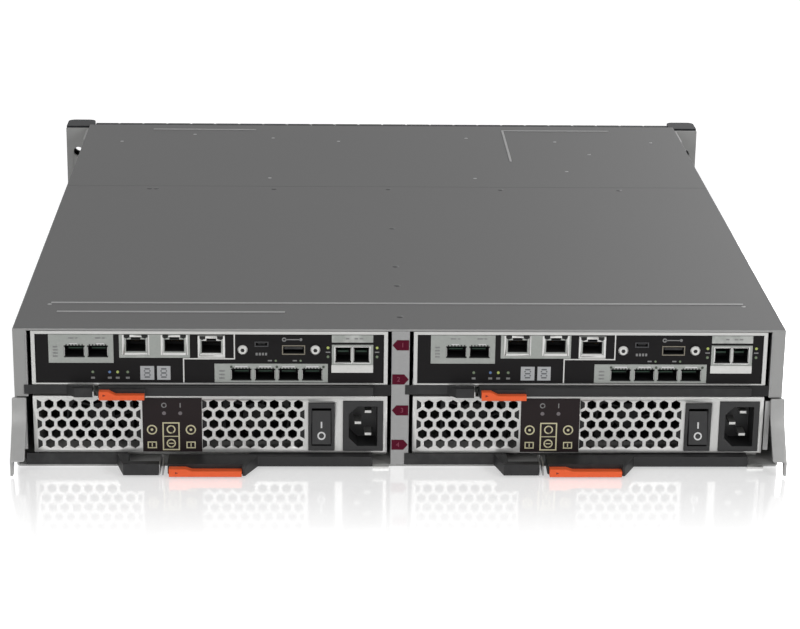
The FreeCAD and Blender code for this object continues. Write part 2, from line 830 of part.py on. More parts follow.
def connector_shell(name, mouths):
    """A connector shell with its blind mouths."""
    body = new_body(name + "_shell")
    face = FACE + " - plate_setback"
    block = sketch_on(body, "XZ_Plane", face)
    rectangle(block, *shell_edges(name))
    pad(body, block, "port_depth", backwards=True)
    low = "controller_bottom + %s_mouth_low" % name
    for number in range(1, mouths + 1):
        centre = "%s_mouth_%d" % (name, number)
        opening = sketch_on(body, "XZ_Plane", face)
        if name in JACKS:
            outline(opening, jack_mouth(centre, low))
        else:
            outline(opening, square_mouth(centre, low, name + "_mouth_width", name + "_mouth_height"))
        pocket(body, opening, "port_depth - port_wall")
    return body


def faceplate():
    """The panel inside the tray's rim, with an aperture for each connector shell."""
    body = new_body("faceplate")
    plate = sketch_on(body, "XZ_Plane", FACE + " - plate_setback - fit_gap")
    edge = "(canister_width / 2 - rim_side - fit_gap)"
    rectangle(plate, "-" + edge, CONTROLLER_FACE + " + rim_bottom + fit_gap",
              edge, "controller_top - rim_top - fit_gap")
    for name, mouths in SHELLS:
        left, low, right, high = shell_edges(name)
        rectangle(plate, left + " - fit_gap", low + " - fit_gap / 2",
                  right + " + fit_gap", high + " + fit_gap")
    pad(body, plate, "plate_thickness", backwards=True)
    return body


def main_board():
    """The board on its standoffs, with two finned heat sinks."""
    body = new_body("board")
    low = "controller_bottom + rim_bottom + standoff"
    top = low + " + main_board"
    rear = REAR + " + board_setback"
    end = CAN_END + " - rim_side - fit_gap"
    side = "(canister_width / 2 - 2 * rim_side)"
    plan = sketch_on(body, "XY_Plane", low)
    rectangle(plan, "-" + side, rear, side, end)
    pad(body, plan, "main_board")
    feet = sketch_on(body, "XY_Plane", low)
    for across in ("-" + side + " + standoff_inset", side + " - standoff_inset"):
        for along in (rear + " + standoff_inset", end + " - standoff_inset"):
            hexagon(feet, across, along, "standoff_width")
    pad(body, feet, "standoff", backwards=True)
    middle = REAR + " + canister_depth / 2"
    for centre in ("-canister_width / 4", "canister_width / 4"):
        sink = sketch_on(body, "XY_Plane", top)
        rectangle(sink, centre + " - sink_width / 2", middle + " - sink_depth / 2",
                  centre + " + sink_width / 2", middle + " + sink_depth / 2")
        pad(body, sink, "sink_base")
        fin = sketch_on(body, "XY_Plane", top + " + sink_base")
        rectangle(fin, centre + " - sink_width / 2", middle + " - sink_depth / 2",
                  centre + " - sink_width / 2 + fin_thickness", middle + " + sink_depth / 2")
        fins = pad(body, fin, "sink_height - sink_base")
        repeat(body, fins, "X_Axis", "(sink_width - fin_thickness) / (fin_count - 1)", "fin_count")
    return body


def stepped_grip(name, low, height, reach):
    """A fixed pull: a wall along the canister's foot that steps out beside the latch."""
    body = new_body(name)
    left = "-%s - grip_overhang" % CAN
    step = "(%s_step - %s)" % (name, CAN)
    right = "%s_end - %s" % (name, CAN)
    clear = REAR + " - lever_clearance"
    foot = REAR + " - grip_foot"
    front = "%s - %s" % (REAR, reach)
    plan = sketch_on(body, "XY_Plane", low)
    outline(plan, [
        ("rim_side - " + CAN, RECESS), ("rim_side - " + CAN, clear), (left, clear), (left, foot),
        (step, foot), (step + " + grip_ramp", front), (right, front), (right, front + " + grip_wall"),
        (step + " + grip_ramp + grip_wall / 2", front + " + grip_wall"),
        (step + " + grip_ramp + grip_wall / 2", clear), (step + " + grip_wall", clear),
        (step + " + grip_wall", RECESS),
    ])
    pad(body, plan, height)
    return body


def controller_grip():
    return stepped_grip("controller_grip", "controller_bottom", "recess_height - fit_gap",
                        "controller_grip_reach")


def lever_nose(bar_front):
    """The end of a lever around its pivot, from the bar's front to its back."""
    back = PIVOT_Y + " + nose_back"
    return [
        (PIVOT_X + " + nose_tip", bar_front), (PIVOT_X + " + nose_tip", PIVOT_Y),
        (PIVOT_X + " + nose_flat", back), (PIVOT_X + " - nose_flat", back),
        (PIVOT_X + " - nose_root", PIVOT_Y + " + bar_back"),
    ]


def drill_pivot(body, low, height):
    hole = sketch_on(body, "XY_Plane", low)
    circle(hole, PIVOT_X, PIVOT_Y, "pin_radius + pin_clearance")
    pocket(body, hole, "2 * (%s)" % height, backwards=True)


def controller_lever():
    body = new_body("controller_lever")
    low = "controller_bottom + fit_gap"
    height = "recess_height - 2 * fit_gap - lever_clearance"
    left = "controller_lever_start - " + CAN
    stop = "controller_latch_end - %s + lever_clearance" % CAN
    seat = REAR + " - controller_lever_seat"
    front = REAR + " - controller_bar_front"
    plan = sketch_on(body, "XY_Plane", low)
    outline(plan, [(left, PIVOT_Y + " + bar_back"), (left, seat), (stop, seat), (stop, front)]
            + lever_nose(front))
    pad(body, plan, height)
    drill_pivot(body, low, height)
    return body


def touch_latch(side, low):
    """The sliding catch in front of a lever's free end, taller at its outer end."""
    body = new_body(side + "_latch")
    left = "(%s_lever_start + latch_inset - %s)" % (side, CAN)
    right = "%s_latch_end - %s" % (side, CAN)
    step = left + " + %s_latch_step" % side
    high = "%s + %s_latch_height" % (low, side)
    lower = high + " - %s_latch_slope" % side
    face = sketch_on(body, "XZ_Plane", FACE + " + %s_lever_seat + lever_clearance" % side)
    outline(face, [(left, low), (right, low), (right, lower), (step + " + latch_ramp", lower),
                   (step, high), (left, high)])
    pad(body, face, "%s_reach - %s_lever_seat - lever_clearance" % (side, side))
    front = worth(REAR + " - %s_reach" % side)
    round_edges(body, "latch_round", lambda middle, way: near(middle.y, front) and abs(way.x) > 0.5)
    return body


# Power and fan canister, modelled about its own middle

POWER_FACE = "(power_bottom + face_rim_bottom)"
ROW = "(hole_pitch * cos(30))"


def grille(body, start):
    """Rows of hexagonal holes, each second row set back by half a pitch."""
    column = sketch_on(body, "XZ_Plane", FACE)
    for row in range(int(SIZES["hole_rows"])):
        across = start + " - hole_pitch / 2" if row % 2 else start
        hexagon(column, across, "power_bottom + first_row + %d * %s" % (row, ROW), "hole_across")
    cut = pocket(body, column, "2 * face_sheet")
    repeat(body, cut, "X_Axis", "hole_pitch", "holes_in_row")


def power_case():
    """A sheet-metal case whose rear wall is the grille, with the switch and inlet apertures."""
    body = new_body("case")
    side = sketch_on(body, "YZ_Plane")
    stepped_side(side, "power_bottom", POWER_FACE, "power_top")
    pad(body, side, "canister_width", both_ways=True)
    inside = sketch_on(body, "YZ_Plane")
    outline(inside, [
        (REAR + " + face_sheet", POWER_FACE + " + case_wall"),
        (RECESS + " + case_wall", POWER_FACE + " + case_wall"),
        (RECESS + " + case_wall", "power_bottom + case_wall"),
        (CAN_END + " - case_wall", "power_bottom + case_wall"),
        (CAN_END + " - case_wall", "power_top - case_wall"),
        (REAR + " + face_sheet", "power_top - case_wall"),
    ])
    pocket(body, inside, "canister_width - 2 * case_wall", both_ways=True)
    window = sketch_on(body, "XZ_Plane", FACE)
    for left, low, wide, high in (
        ("switch_left", "switch_bottom", "switch_width", "switch_height"),
        ("inlet_left", "inlet_bottom", "inlet_width", "inlet_height"),
    ):
        rectangle(window, left + " - fit_gap", low + " - fit_gap",
                  "%s + %s + fit_gap" % (left, wide), "%s + %s + fit_gap" % (low, high))
    pocket(body, window, "2 * face_sheet")
    grille(body, "left_grille_start")
    grille(body, "right_grille_start")
    pivot_pin(body, POWER_FACE, "face_rim_bottom - fit_gap - lever_clearance")
    return body


SWITCH_X = "(switch_left + switch_width / 2)"
SWITCH_Z = "(switch_bottom + switch_height / 2)"
ROCKER_Y = "(rocker_setback - chassis_depth / 2)"


def switch_frame():
    """The frame in the case's aperture, with a well and two bores for the rocker's pins."""
    body = new_body("switch_frame")
    face = sketch_on(body, "XZ_Plane", FACE + " + switch_lip")
    rectangle(face, "switch_left", "switch_bottom",
              "switch_left + switch_width", "switch_bottom + switch_height")
    pad(body, face, "switch_depth", backwards=True)
    well = sketch_on(body, "XZ_Plane", FACE + " + switch_lip")
    across = "(rocker_width / 2 + seat_gap)"
    up = "(rocker_height / 2 + rocker_swing_room)"
    rectangle(well, "%s - %s" % (SWITCH_X, across), "%s - %s" % (SWITCH_Z, up),
              "%s + %s" % (SWITCH_X, across), "%s + %s" % (SWITCH_Z, up))
    pocket(body, well, "switch_depth - switch_lip")
    bores = sketch_on(body, "YZ_Plane", SWITCH_X)
    circle(bores, ROCKER_Y, SWITCH_Z, "rocker_pin_radius + pin_clearance")
    pocket(body, bores, "2 * switch_width", both_ways=True)
    return body


def rocker():
    """The switch's rocker, two faces that meet in a shallow valley, with a pin at each side."""
    body = new_body("rocker")
    side = sketch_on(body, "YZ_Plane", SWITCH_X)
    outline(side, [
        (ROCKER_Y + " - rocker_low_reach", SWITCH_Z + " - rocker_height / 2"),
        (ROCKER_Y + " + rocker_back", SWITCH_Z + " - rocker_height / 2 + rocker_back"),
        (ROCKER_Y + " + rocker_back", SWITCH_Z + " + rocker_height / 2 - rocker_back"),
        (ROCKER_Y + " - rocker_top_reach", SWITCH_Z + " + rocker_height / 2"),
        (ROCKER_Y + " - rocker_ridge_reach", SWITCH_Z + " + rocker_ridge"),
    ])
    pad(body, side, "rocker_width", both_ways=True)
    pins = sketch_on(body, "YZ_Plane", SWITCH_X)
    circle(pins, ROCKER_Y, SWITCH_Z, "rocker_pin_radius")
    pad(body, pins, "switch_width - 2 * seat_gap", both_ways=True)
    return body


def inlet_pieces():
    """The mains inlet, turned on its side, and its three blades."""
    body = new_body("inlet")
    centre_x = "(inlet_left + inlet_width / 2)"
    centre_z = "(inlet_bottom + inlet_height / 2)"
    face = sketch_on(body, "XZ_Plane", FACE + " + inlet_lip")
    rectangle(face, "inlet_left", "inlet_bottom",
              "inlet_left + inlet_width", "inlet_bottom + inlet_height")
    pad(body, face, "inlet_depth", backwards=True)
    left = centre_x + " - socket_width / 2"
    right = centre_x + " + socket_width / 2"
    low = centre_z + " - socket_height / 2"
    high = centre_z + " + socket_height / 2"
    well = sketch_on(body, "XZ_Plane", FACE + " + inlet_lip")
    outline(well, [
        (left + " + socket_chamfer", low), (right, low), (right, high), (left + " + socket_chamfer", high),
        (left, high + " - socket_chamfer"), (left, low + " + socket_chamfer"),
    ])
    pocket(body, well, "socket_depth")
    pieces = [body]
    blades = (
        ("live_blade", centre_x + " + blade_offset", centre_z + " + blade_spacing / 2"),
        ("neutral_blade", centre_x + " + blade_offset", centre_z + " - blade_spacing / 2"),
        ("earth_blade", centre_x + " - blade_offset", centre_z),
    )
    for name, across, up in blades:
        blade = new_body(name)
        foot = sketch_on(blade, "XZ_Plane", FACE + " + inlet_lip - socket_depth")
        rectangle(foot, across + " - blade_height / 2", up + " - blade_thickness / 2",
                  across + " + blade_height / 2", up + " + blade_thickness / 2")
        pad(blade, foot, "blade_length")
        pieces.append(blade)
    return pieces


FAN_Z = "(power_bottom + case_wall + fan_size / 2 + fit_gap)"
FAN_REAR = "chassis_depth / 2 - fan_setback"


def fan_frame():
    """A square fan frame with a cross of struts that holds the rotor's shaft."""
    body = new_body("fan_frame")
    ring = sketch_on(body, "XZ_Plane", FAN_REAR)
    half = "fan_size / 2"
    rectangle(ring, "-" + half, FAN_Z + " - " + half, half, FAN_Z + " + " + half)
    circle(ring, "0", FAN_Z, "fan_bore_radius")
    pad(body, ring, "fan_depth", backwards=True)
    strut_face = FAN_REAR + " - fan_depth + fan_plate"
    for wide, high in (("fan_strut", "fan_size - fan_plate"), ("fan_size - fan_plate", "fan_strut")):
        strut = sketch_on(body, "XZ_Plane", strut_face)
        rectangle(strut, "-(%s) / 2" % wide, "%s - (%s) / 2" % (FAN_Z, high),
                  "(%s) / 2" % wide, "%s + (%s) / 2" % (FAN_Z, high))
        pad(body, strut, "fan_plate", backwards=True)
    shaft = sketch_on(body, "XZ_Plane", strut_face)
    circle(shaft, "0", FAN_Z, "fan_shaft_radius")
    pad(body, shaft, "fan_hub_depth - 2 * fan_cap")
    return body


def fan_rotor():
    """Hub and slanted blades, bored from the front for the frame's shaft."""
    body = new_body("rotor")
    hub_front = FAN_REAR + " - fan_depth + fan_plate + seat_gap"
    hub = sketch_on(body, "XZ_Plane", hub_front)
    circle(hub, "0", "0", "fan_hub_radius")
    pad(body, hub, "fan_hub_depth")
    blade = sketch_on(body, "XY_Plane", "fan_hub_radius - fan_cap")
    front = "-(%s) - fan_cap" % hub_front
    rear = "-(%s) - fan_hub_depth + fan_cap" % hub_front
    lean = "fan_blade_lean / 2"
    outline(blade, [
        ("-%s" % lean, front), ("%s" % lean, rear),
        ("%s + fan_blade_thickness" % lean, rear), ("fan_blade_thickness - %s" % lean, front),
    ])
    blade_pad = pad(body, blade, "fan_tip_radius - fan_hub_radius + fan_cap")
    ring = body.newObject("PartDesign::PolarPattern", "rotor_ring")
    ring.Originals = [blade_pad]
    ring.Axis = (next(item for item in body.Origin.OriginFeatures if item.Role == "Y_Axis"), [""])
    ring.Angle = 360
    tie(ring, "Occurrences", "fan_blades")
    body.Tip = ring
    bore = sketch_on(body, "XZ_Plane", hub_front)
    circle(bore, "0", "0", "fan_shaft_radius + pin_clearance")
    pocket(body, bore, "fan_hub_depth - fan_cap", backwards=True)
    return body


def power_grip():
    return stepped_grip("power_grip", "power_bottom", "face_rim_bottom - lever_clearance",
                        "power_grip_reach")


def power_lever():
    """The lever with a deep housing behind its latch, hollow from below, and a slim bar."""
    body = new_body("power_lever")
    low = "power_bottom + fit_gap"
    height = "face_rim_bottom - 2 * fit_gap - 2 * lever_clearance"
    left = "power_lever_start - " + CAN
    stop = "power_latch_end - %s + lever_clearance" % CAN
    shoulder = stop + " + lever_wall"
    heel = REAR + " - lever_heel"
    seat = REAR + " - power_lever_seat"
    tip = REAR + " - power_reach + lever_wall"
    bar = REAR + " - power_bar_front"
    back = PIVOT_Y + " + bar_back"
    plan = sketch_on(body, "XY_Plane", low)
    outline(plan, [
        (left, heel), (left, seat), (stop, seat), (stop, tip), (shoulder, tip),
        (shoulder + " + lever_ramp", bar)] + lever_nose(bar)
        + [(shoulder + " + lever_ramp", back), (shoulder, heel)])
    pad(body, plan, height)
    drill_pivot(body, low, height)
    hollow = sketch_on(body, "XY_Plane", low)
    rectangle(hollow, left + " + lever_wall", seat + " + lever_wall",
              stop + " - lever_wall", heel + " - lever_wall")
    pocket(body, hollow, height + " - lever_wall", backwards=True)
    return body


def canisters():
    """Both canisters of each column, placed from one set of pieces."""
    parts = {
        "controller_tray": [controller_tray()],
        "controller_faceplate": [faceplate(), controller_grip()],
        "controller_ports": [connector_shell(name, mouths) for name, mouths in SHELLS],
        "controller_board": [main_board()],
        "controller_lever": [controller_lever()],
        "controller_latch": [touch_latch("controller", "controller_bottom - fit_gap")],
        "power_inlet": inlet_pieces(),
        "power_switch": [rocker()],
        "power_lever": [power_lever()],
        "power_latch": [touch_latch("power", "power_bottom + fit_gap")],
    }
    case_pieces = [power_case(), power_grip(), switch_frame()]
    frame = fan_frame()
    for place in ("left_fan", "right_fan"):
        case_pieces.append(group("frame_at_" + place, [frame], place))
    parts["power_case"] = case_pieces
    rotor = fan_rotor()
    made = {}
    for side, sign in SIDES:
        middle = "%d * bay_centre" % sign
        for name, pieces in parts.items():
            made[name + "_" + side] = group(name + "_" + side, pieces, middle)
        for number, place in enumerate(("left_fan", "right_fan"), start=1):
            fan = group("fan_rotor_%s_%d" % (side, number), [rotor], "%s + %s" % (middle, place))
            tie(fan, "Placement.Base.z", FAN_Z)
            made[fan.Label] = fan
    return made


def build():
    """Make every sub-part and return the list of those that are handed over."""
    fill_sheet()
    chassis_shell()
    covers()
    centre_divider()
    bay_shelves()
    midplane()
    drive_cage()
    group("rack_ears", [rack_ear(name, sign) for name, sign in SIDES])
    group("ear_caps", [ear_cap(name, sign) for name, sign in SIDES])
    group("rear_lugs", [rear_lug(name, sign) for name, sign in SIDES])
    drives()
    names = ["chassis_shell", "rear_cover", "front_cover", "centre_divider", "bay_shelves",
             "midplane", "drive_cage", "rack_ears", "ear_caps", "rear_lugs"]
    names += ["drive_%02d" % number for number in range(1, int(SIZES["drive_count"]) + 1)]
    names += sorted(canisters())
    doc.recompute()
    return [doc.getObject(name) for name in names]


def check(subparts):
    """Stop if any object failed or any sub-part is not a sound solid."""
    for item in doc.Objects:
        if "Invalid" in item.State or "Error" in item.State:
            raise RuntimeError("%s failed: %s" % (item.Name, item.State))
    for item in subparts:
        shape = item.Shape
        if shape.isNull() or not shape.isValid() or not shape.Solids:
            raise RuntimeError("%s has no sound shape" % item.Label)


def write(subparts):
    os.makedirs("parts", exist_ok=True)
    for item in subparts:
        item.Shape.exportStep("parts/%s.step" % item.Label)


SUBPARTS = build()
check(SUBPARTS)
write(SUBPARTS)
print("sub-parts:", len(SUBPARTS))
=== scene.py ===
import math

import bmesh
import bpy
from mathutils import Matrix, Vector


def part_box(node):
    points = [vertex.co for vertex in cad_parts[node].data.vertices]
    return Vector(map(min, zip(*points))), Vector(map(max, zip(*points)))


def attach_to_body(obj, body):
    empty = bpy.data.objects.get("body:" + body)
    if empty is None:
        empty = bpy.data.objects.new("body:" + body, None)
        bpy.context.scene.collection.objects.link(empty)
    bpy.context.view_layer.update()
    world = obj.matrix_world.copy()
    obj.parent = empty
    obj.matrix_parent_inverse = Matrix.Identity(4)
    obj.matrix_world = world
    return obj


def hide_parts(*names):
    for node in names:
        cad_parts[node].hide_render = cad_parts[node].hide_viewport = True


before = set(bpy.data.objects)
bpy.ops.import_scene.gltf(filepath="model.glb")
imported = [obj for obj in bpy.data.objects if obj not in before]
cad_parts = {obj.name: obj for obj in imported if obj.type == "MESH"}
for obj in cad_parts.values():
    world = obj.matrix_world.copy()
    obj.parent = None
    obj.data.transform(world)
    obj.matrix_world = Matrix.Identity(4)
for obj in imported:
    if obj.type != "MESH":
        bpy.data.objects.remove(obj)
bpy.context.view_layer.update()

MM = 0.001
WAYS = {"left": -1, "right": 1}


def middle(node):
    """The centre of a CAD node's box, in millimetres."""
    low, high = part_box(node)
    return (low + high) * 0.5 / MM


# In millimetres: the shell's rear and front planes and half its width, the covers' flat top, and
# the middle of each bay. Sizes below are in millimetres too, unless a comment says otherwise.
COVER_SHEET = 1.2
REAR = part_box("chassis_shell")[0].y / MM
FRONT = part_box("chassis_shell")[1].y / MM
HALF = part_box("chassis_shell")[1].x / MM
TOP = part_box("chassis_shell")[1].z / MM + COVER_SHEET
BAY = {side: middle("controller_tray_" + side).x for side in WAYS}
DRIVES = sorted(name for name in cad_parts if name.startswith("drive_") and name != "drive_cage")


def place(name, data):
    """A new object in the scene that holds a mesh, a curve, a camera or a lamp."""
    made = bpy.data.objects.new(name, data)
    bpy.context.scene.collection.objects.link(made)
    return made


# Building node trees

def feed(tree, node, inputs):
    """Link inputs of a node to the sockets given for them, and set the others to their plain values."""
    for name, value in inputs.items():
        if isinstance(value, bpy.types.NodeSocket):
            tree.links.new(value, node.inputs[name])
        else:
            node.inputs[name].default_value = value


def add(tree, kind, inputs=None, **settings):
    """A new node with its settings made and its inputs fed."""
    node = tree.nodes.new(kind)
    for name, value in settings.items():
        setattr(node, name, value)
    feed(tree, node, inputs or {})
    return node


def maths(tree, operation, *values):
    node = add(tree, "ShaderNodeMath", dict(enumerate(values)), operation=operation)
    return node.outputs[0]


def vector_maths(tree, operation, *values):
    node = add(tree, "ShaderNodeVectorMath", dict(enumerate(values)), operation=operation)
    return node.outputs["Value" if operation == "LENGTH" else "Vector"]


def stretch_range(tree, value, limits, **settings):
    node = add(tree, "ShaderNodeMapRange", {"Value": value, **limits}, **settings)
    return node.outputs["Result"]


def sockets(tree, way, **kinds):
    """Give a tree its own inputs or outputs, by name and kind."""
    for name, kind in kinds.items():
        tree.interface.new_socket(name, in_out=way, socket_type="NodeSocket" + kind)


def bare_tree(owner):
    """The emptied node tree of a world or a material."""
    owner.use_nodes = True
    owner.node_tree.nodes.clear()
    return owner.node_tree


# Camera, stage and lamps

# The photograph's viewpoint, solved from the middles of the grille holes and the cover's corners.
PITCH, YAW, ROLL = math.radians(18.423), math.radians(1.888), math.radians(0.755)
VIEWPOINT = (-0.04428, -1.56295, 0.5343)
SENSOR_WIDTH, FOCAL_LENGTH = 36, 108.9

WHITE = (1, 1, 1, 1)
TABLE_WHITE = (0.86, 0.86, 0.86, 1)
WORLD_LIGHT = 0.22
FLOOR_GLOW = 0.79
FLOOR_REACH = 14
# The table's share of mirror at the chassis and at this distance from it, in metres.
POLISH_REACH, POLISH_NEAR, POLISH_FAR = 0.17, 0.38, 0.03
POLISH_ROUGHNESS = 0.09

# Each lamp's name, place, target, size and power, in metres and watts.
LAMPS = (
    ("key", (-0.9, -1.7, 0.85), (0, -0.25, 0.03), (1.1, 0.7), 8),
    ("fill", (0.95, -1.1, 0.75), (0.05, -0.25, 0.03), (0.7, 0.6), 6.3),
    ("sheen", (1.15, 2.4, 1.0), (0.25, -0.15, 0.08), (1.0, 0.7), 11))


def make_camera():
    ahead = Vector((math.sin(YAW) * math.cos(PITCH), math.cos(YAW) * math.cos(PITCH), -math.sin(PITCH)))
    right = Vector((math.cos(YAW), -math.sin(YAW), 0))
    up = right.cross(ahead)
    side = right * math.cos(ROLL) + up * math.sin(ROLL)
    top = up * math.cos(ROLL) - right * math.sin(ROLL)
    data = bpy.data.cameras.new("camera")
    data.sensor_width = SENSOR_WIDTH
    data.lens = FOCAL_LENGTH
    camera = place("camera", data)
    camera.matrix_world = Matrix((side, top, -ahead)).transposed().to_4x4()
    camera.location = VIEWPOINT
    bpy.context.scene.camera = camera


def seen_mask(tree):
    """1 for rays that come from the camera or by way of a mirror or glass, and 0 for light."""
    path = add(tree, "ShaderNodeLightPath").outputs
    direct = maths(tree, "MAXIMUM", path["Is Camera Ray"], path["Is Glossy Ray"])
    return maths(tree, "MAXIMUM", direct, path["Is Transmission Ray"])


def make_world():
    """A white surround that lights the object less than it shows."""
    world = bpy.data.worlds.new("studio")
    bpy.context.scene.world = world
    tree = bare_tree(world)
    light = add(tree, "ShaderNodeBackground", {"Color": WHITE, "Strength": WORLD_LIGHT})
    seen = add(tree, "ShaderNodeBackground", {"Color": WHITE})
    mixed = add(tree, "ShaderNodeMixShader", {
        "Fac": seen_mask(tree), 1: light.outputs[0], 2: seen.outputs[0]})
    add(tree, "ShaderNodeOutputWorld", {"Surface": mixed.outputs[0]})


def polish_mask(tree):
    """How strongly the table mirrors: most at the foot of the chassis, and less further out."""
    here = add(tree, "ShaderNodeNewGeometry").outputs["Position"]
    outside = vector_maths(tree, "SUBTRACT", vector_maths(tree, "ABSOLUTE", here), (HALF * MM, FRONT * MM, 0))
    away = vector_maths(tree, "LENGTH", vector_maths(tree, "MAXIMUM", outside))
    limits = {"From Max": POLISH_REACH, "To Min": POLISH_NEAR, "To Max": POLISH_FAR}
    return stretch_range(tree, away, limits, interpolation_type="SMOOTHSTEP")


def floor_finish():
    """A white table top with a faint, soft mirror image of what stands on it."""
    made = bpy.data.materials.new("studio_floor")
    tree = bare_tree(made)
    matt = add(tree, "ShaderNodeBsdfDiffuse", {"Color": TABLE_WHITE})
    strength = maths(tree, "MULTIPLY", seen_mask(tree), FLOOR_GLOW)
    glow = add(tree, "ShaderNodeEmission", {"Color": WHITE, "Strength": strength})
    both = add(tree, "ShaderNodeAddShader", {0: matt.outputs[0], 1: glow.outputs[0]})
    mirror = add(tree, "ShaderNodeBsdfAnisotropic", {"Color": WHITE, "Roughness": POLISH_ROUGHNESS})
    mixed = add(tree, "ShaderNodeMixShader", {
        "Fac": polish_mask(tree), 1: both.outputs[0], 2: mirror.outputs[0]})
    add(tree, "ShaderNodeOutputMaterial", {"Surface": mixed.outputs[0]})
    return made


def make_floor():
    mesh = bpy.data.meshes.new("floor")
    corners = [(x * FLOOR_REACH, y * FLOOR_REACH, 0) for x, y in ((-1, -1), (1, -1), (1, 1), (-1, 1))]
    mesh.from_pydata(corners, [], [(0, 1, 2, 3)])
    mesh.materials.append(floor_finish())
    floor = place("floor", mesh)


def make_lamps():
    for name, spot, target, size, power in LAMPS:
        data = bpy.data.lights.new(name, "AREA")
        data.shape = "RECTANGLE"
        data.size, data.size_y = size
        data.energy = power
        lamp = place(name, data)
        direction = Vector(target) - Vector(spot)
        lamp.matrix_world = direction.to_track_quat("-Z", "Y").to_matrix().to_4x4()
        lamp.location = spot


# Finishes

# Where the colour sockets stand among the inputs and outputs of a mix node.
MIX_FIRST, MIX_SECOND, MIX_RESULT = 6, 7, 2
RELIEF_DEPTH = 0.0002


def linear(value):
    value /= 255
    return value / 12.92 if value <= 0.04045 else ((value + 0.055) / 1.055) ** 2.4


def paint(tone):
    """A display grey or colour, from 0 to 255, as the linear colour of a shader."""
    channels = (tone, tone, tone) if isinstance(tone, int) else tone
    return tuple(linear(channel) for channel in channels) + (1,)


def grain_group():
    """Fine surface variation: a tone and a height, with its scale and stretch set outside."""
    tree = bpy.data.node_groups.new("fine_grain", "ShaderNodeTree")
    sockets(tree, "INPUT", Stretch="Vector", Scale="Float")
    sockets(tree, "OUTPUT", Tone="Float", Height="Float")
    given = add(tree, "NodeGroupInput").outputs
    here = add(tree, "ShaderNodeTexCoord").outputs["Object"]
    stretched = vector_maths(tree, "MULTIPLY", here, given["Stretch"])
    noise = add(tree, "ShaderNodeTexNoise", {"Vector": stretched, "Scale": given["Scale"], "Detail": 3})
    cloud = add(tree, "ShaderNodeTexNoise", {"Vector": here, "Scale": 9, "Detail": 2})
    part = maths(tree, "MULTIPLY", cloud.outputs["Fac"], 0.3)
    tone = maths(tree, "MULTIPLY_ADD", noise.outputs["Fac"], 0.7, part)
    add(tree, "NodeGroupOutput", {"Tone": tone, "Height": noise.outputs["Fac"]})
    return tree


def wear_group():
    """A mask of rubbed edges: where the surface turns outwards, broken up by noise."""
    tree = bpy.data.node_groups.new("edge_wear", "ShaderNodeTree")
    sockets(tree, "INPUT", Amount="Float")
    sockets(tree, "OUTPUT", Mask="Float")
    given = add(tree, "NodeGroupInput").outputs
    turn = add(tree, "ShaderNodeNewGeometry").outputs["Pointiness"]
    edge = stretch_range(tree, turn, {"From Min": 0.52, "From Max": 0.62})
    here = add(tree, "ShaderNodeTexCoord").outputs["Object"]
    noise = add(tree, "ShaderNodeTexNoise", {"Vector": here, "Scale": 160, "Detail": 6})
    chips = stretch_range(tree, noise.outputs["Fac"], {"From Min": 0.42, "From Max": 0.66})
    mask = maths(tree, "MULTIPLY", maths(tree, "MULTIPLY", edge, chips), given["Amount"])
    add(tree, "NodeGroupOutput", {"Mask": mask})
    return tree


GRAIN = grain_group()
WEAR = wear_group()


def mix_colours(tree, mask, first, second):
    """Two colours, or the output of another mix and a colour, blended by a mask."""
    mix = add(tree, "ShaderNodeMix", {"Factor": mask}, data_type="RGBA")
    feed(tree, mix, {MIX_FIRST: first, MIX_SECOND: second})
    return mix.outputs[MIX_RESULT]


def finish(name, dark, light, rough, metal=0.0, scale=1400, stretch=(1, 1, 1), bump=0.03,
           wear=None, specular=0.5, coat=0.0):
    """A finish with two close tones, varied gloss, fine relief and, if given, rubbed edges."""
    made = bpy.data.materials.new(name)
    made.use_nodes = True
    tree = made.node_tree
    grain = add(tree, "ShaderNodeGroup", {"Scale": scale, "Stretch": stretch}, node_tree=GRAIN).outputs
    colour = mix_colours(tree, grain["Tone"], paint(dark), paint(light))
    if wear:
        rub = add(tree, "ShaderNodeGroup", {"Amount": wear[0]}, node_tree=WEAR)
        colour = mix_colours(tree, rub.outputs["Mask"], colour, paint(wear[1]))
    relief = add(tree, "ShaderNodeBump", {
        "Strength": bump, "Distance": RELIEF_DEPTH, "Height": grain["Height"]})
    feed(tree, tree.nodes["Principled BSDF"], {
        "Base Color": colour,
        "Roughness": stretch_range(tree, grain["Tone"], {"To Min": rough[0], "To Max": rough[1]}),
        "Normal": relief.outputs["Normal"],
        "Metallic": metal,
        "Specular IOR Level": specular,
        "Coat Weight": coat})
    return made


def lamp_finish(name, colour, strength):
    """The lens of a small indicator, lit from inside if its strength isn't 0."""
    made = finish(name, colour, colour, (0.15, 0.25), scale=2500, bump=0.02, coat=0.4)
    shader = made.node_tree.nodes["Principled BSDF"]
    feed(made.node_tree, shader, {"Emission Color": paint(colour), "Emission Strength": strength})
    return made


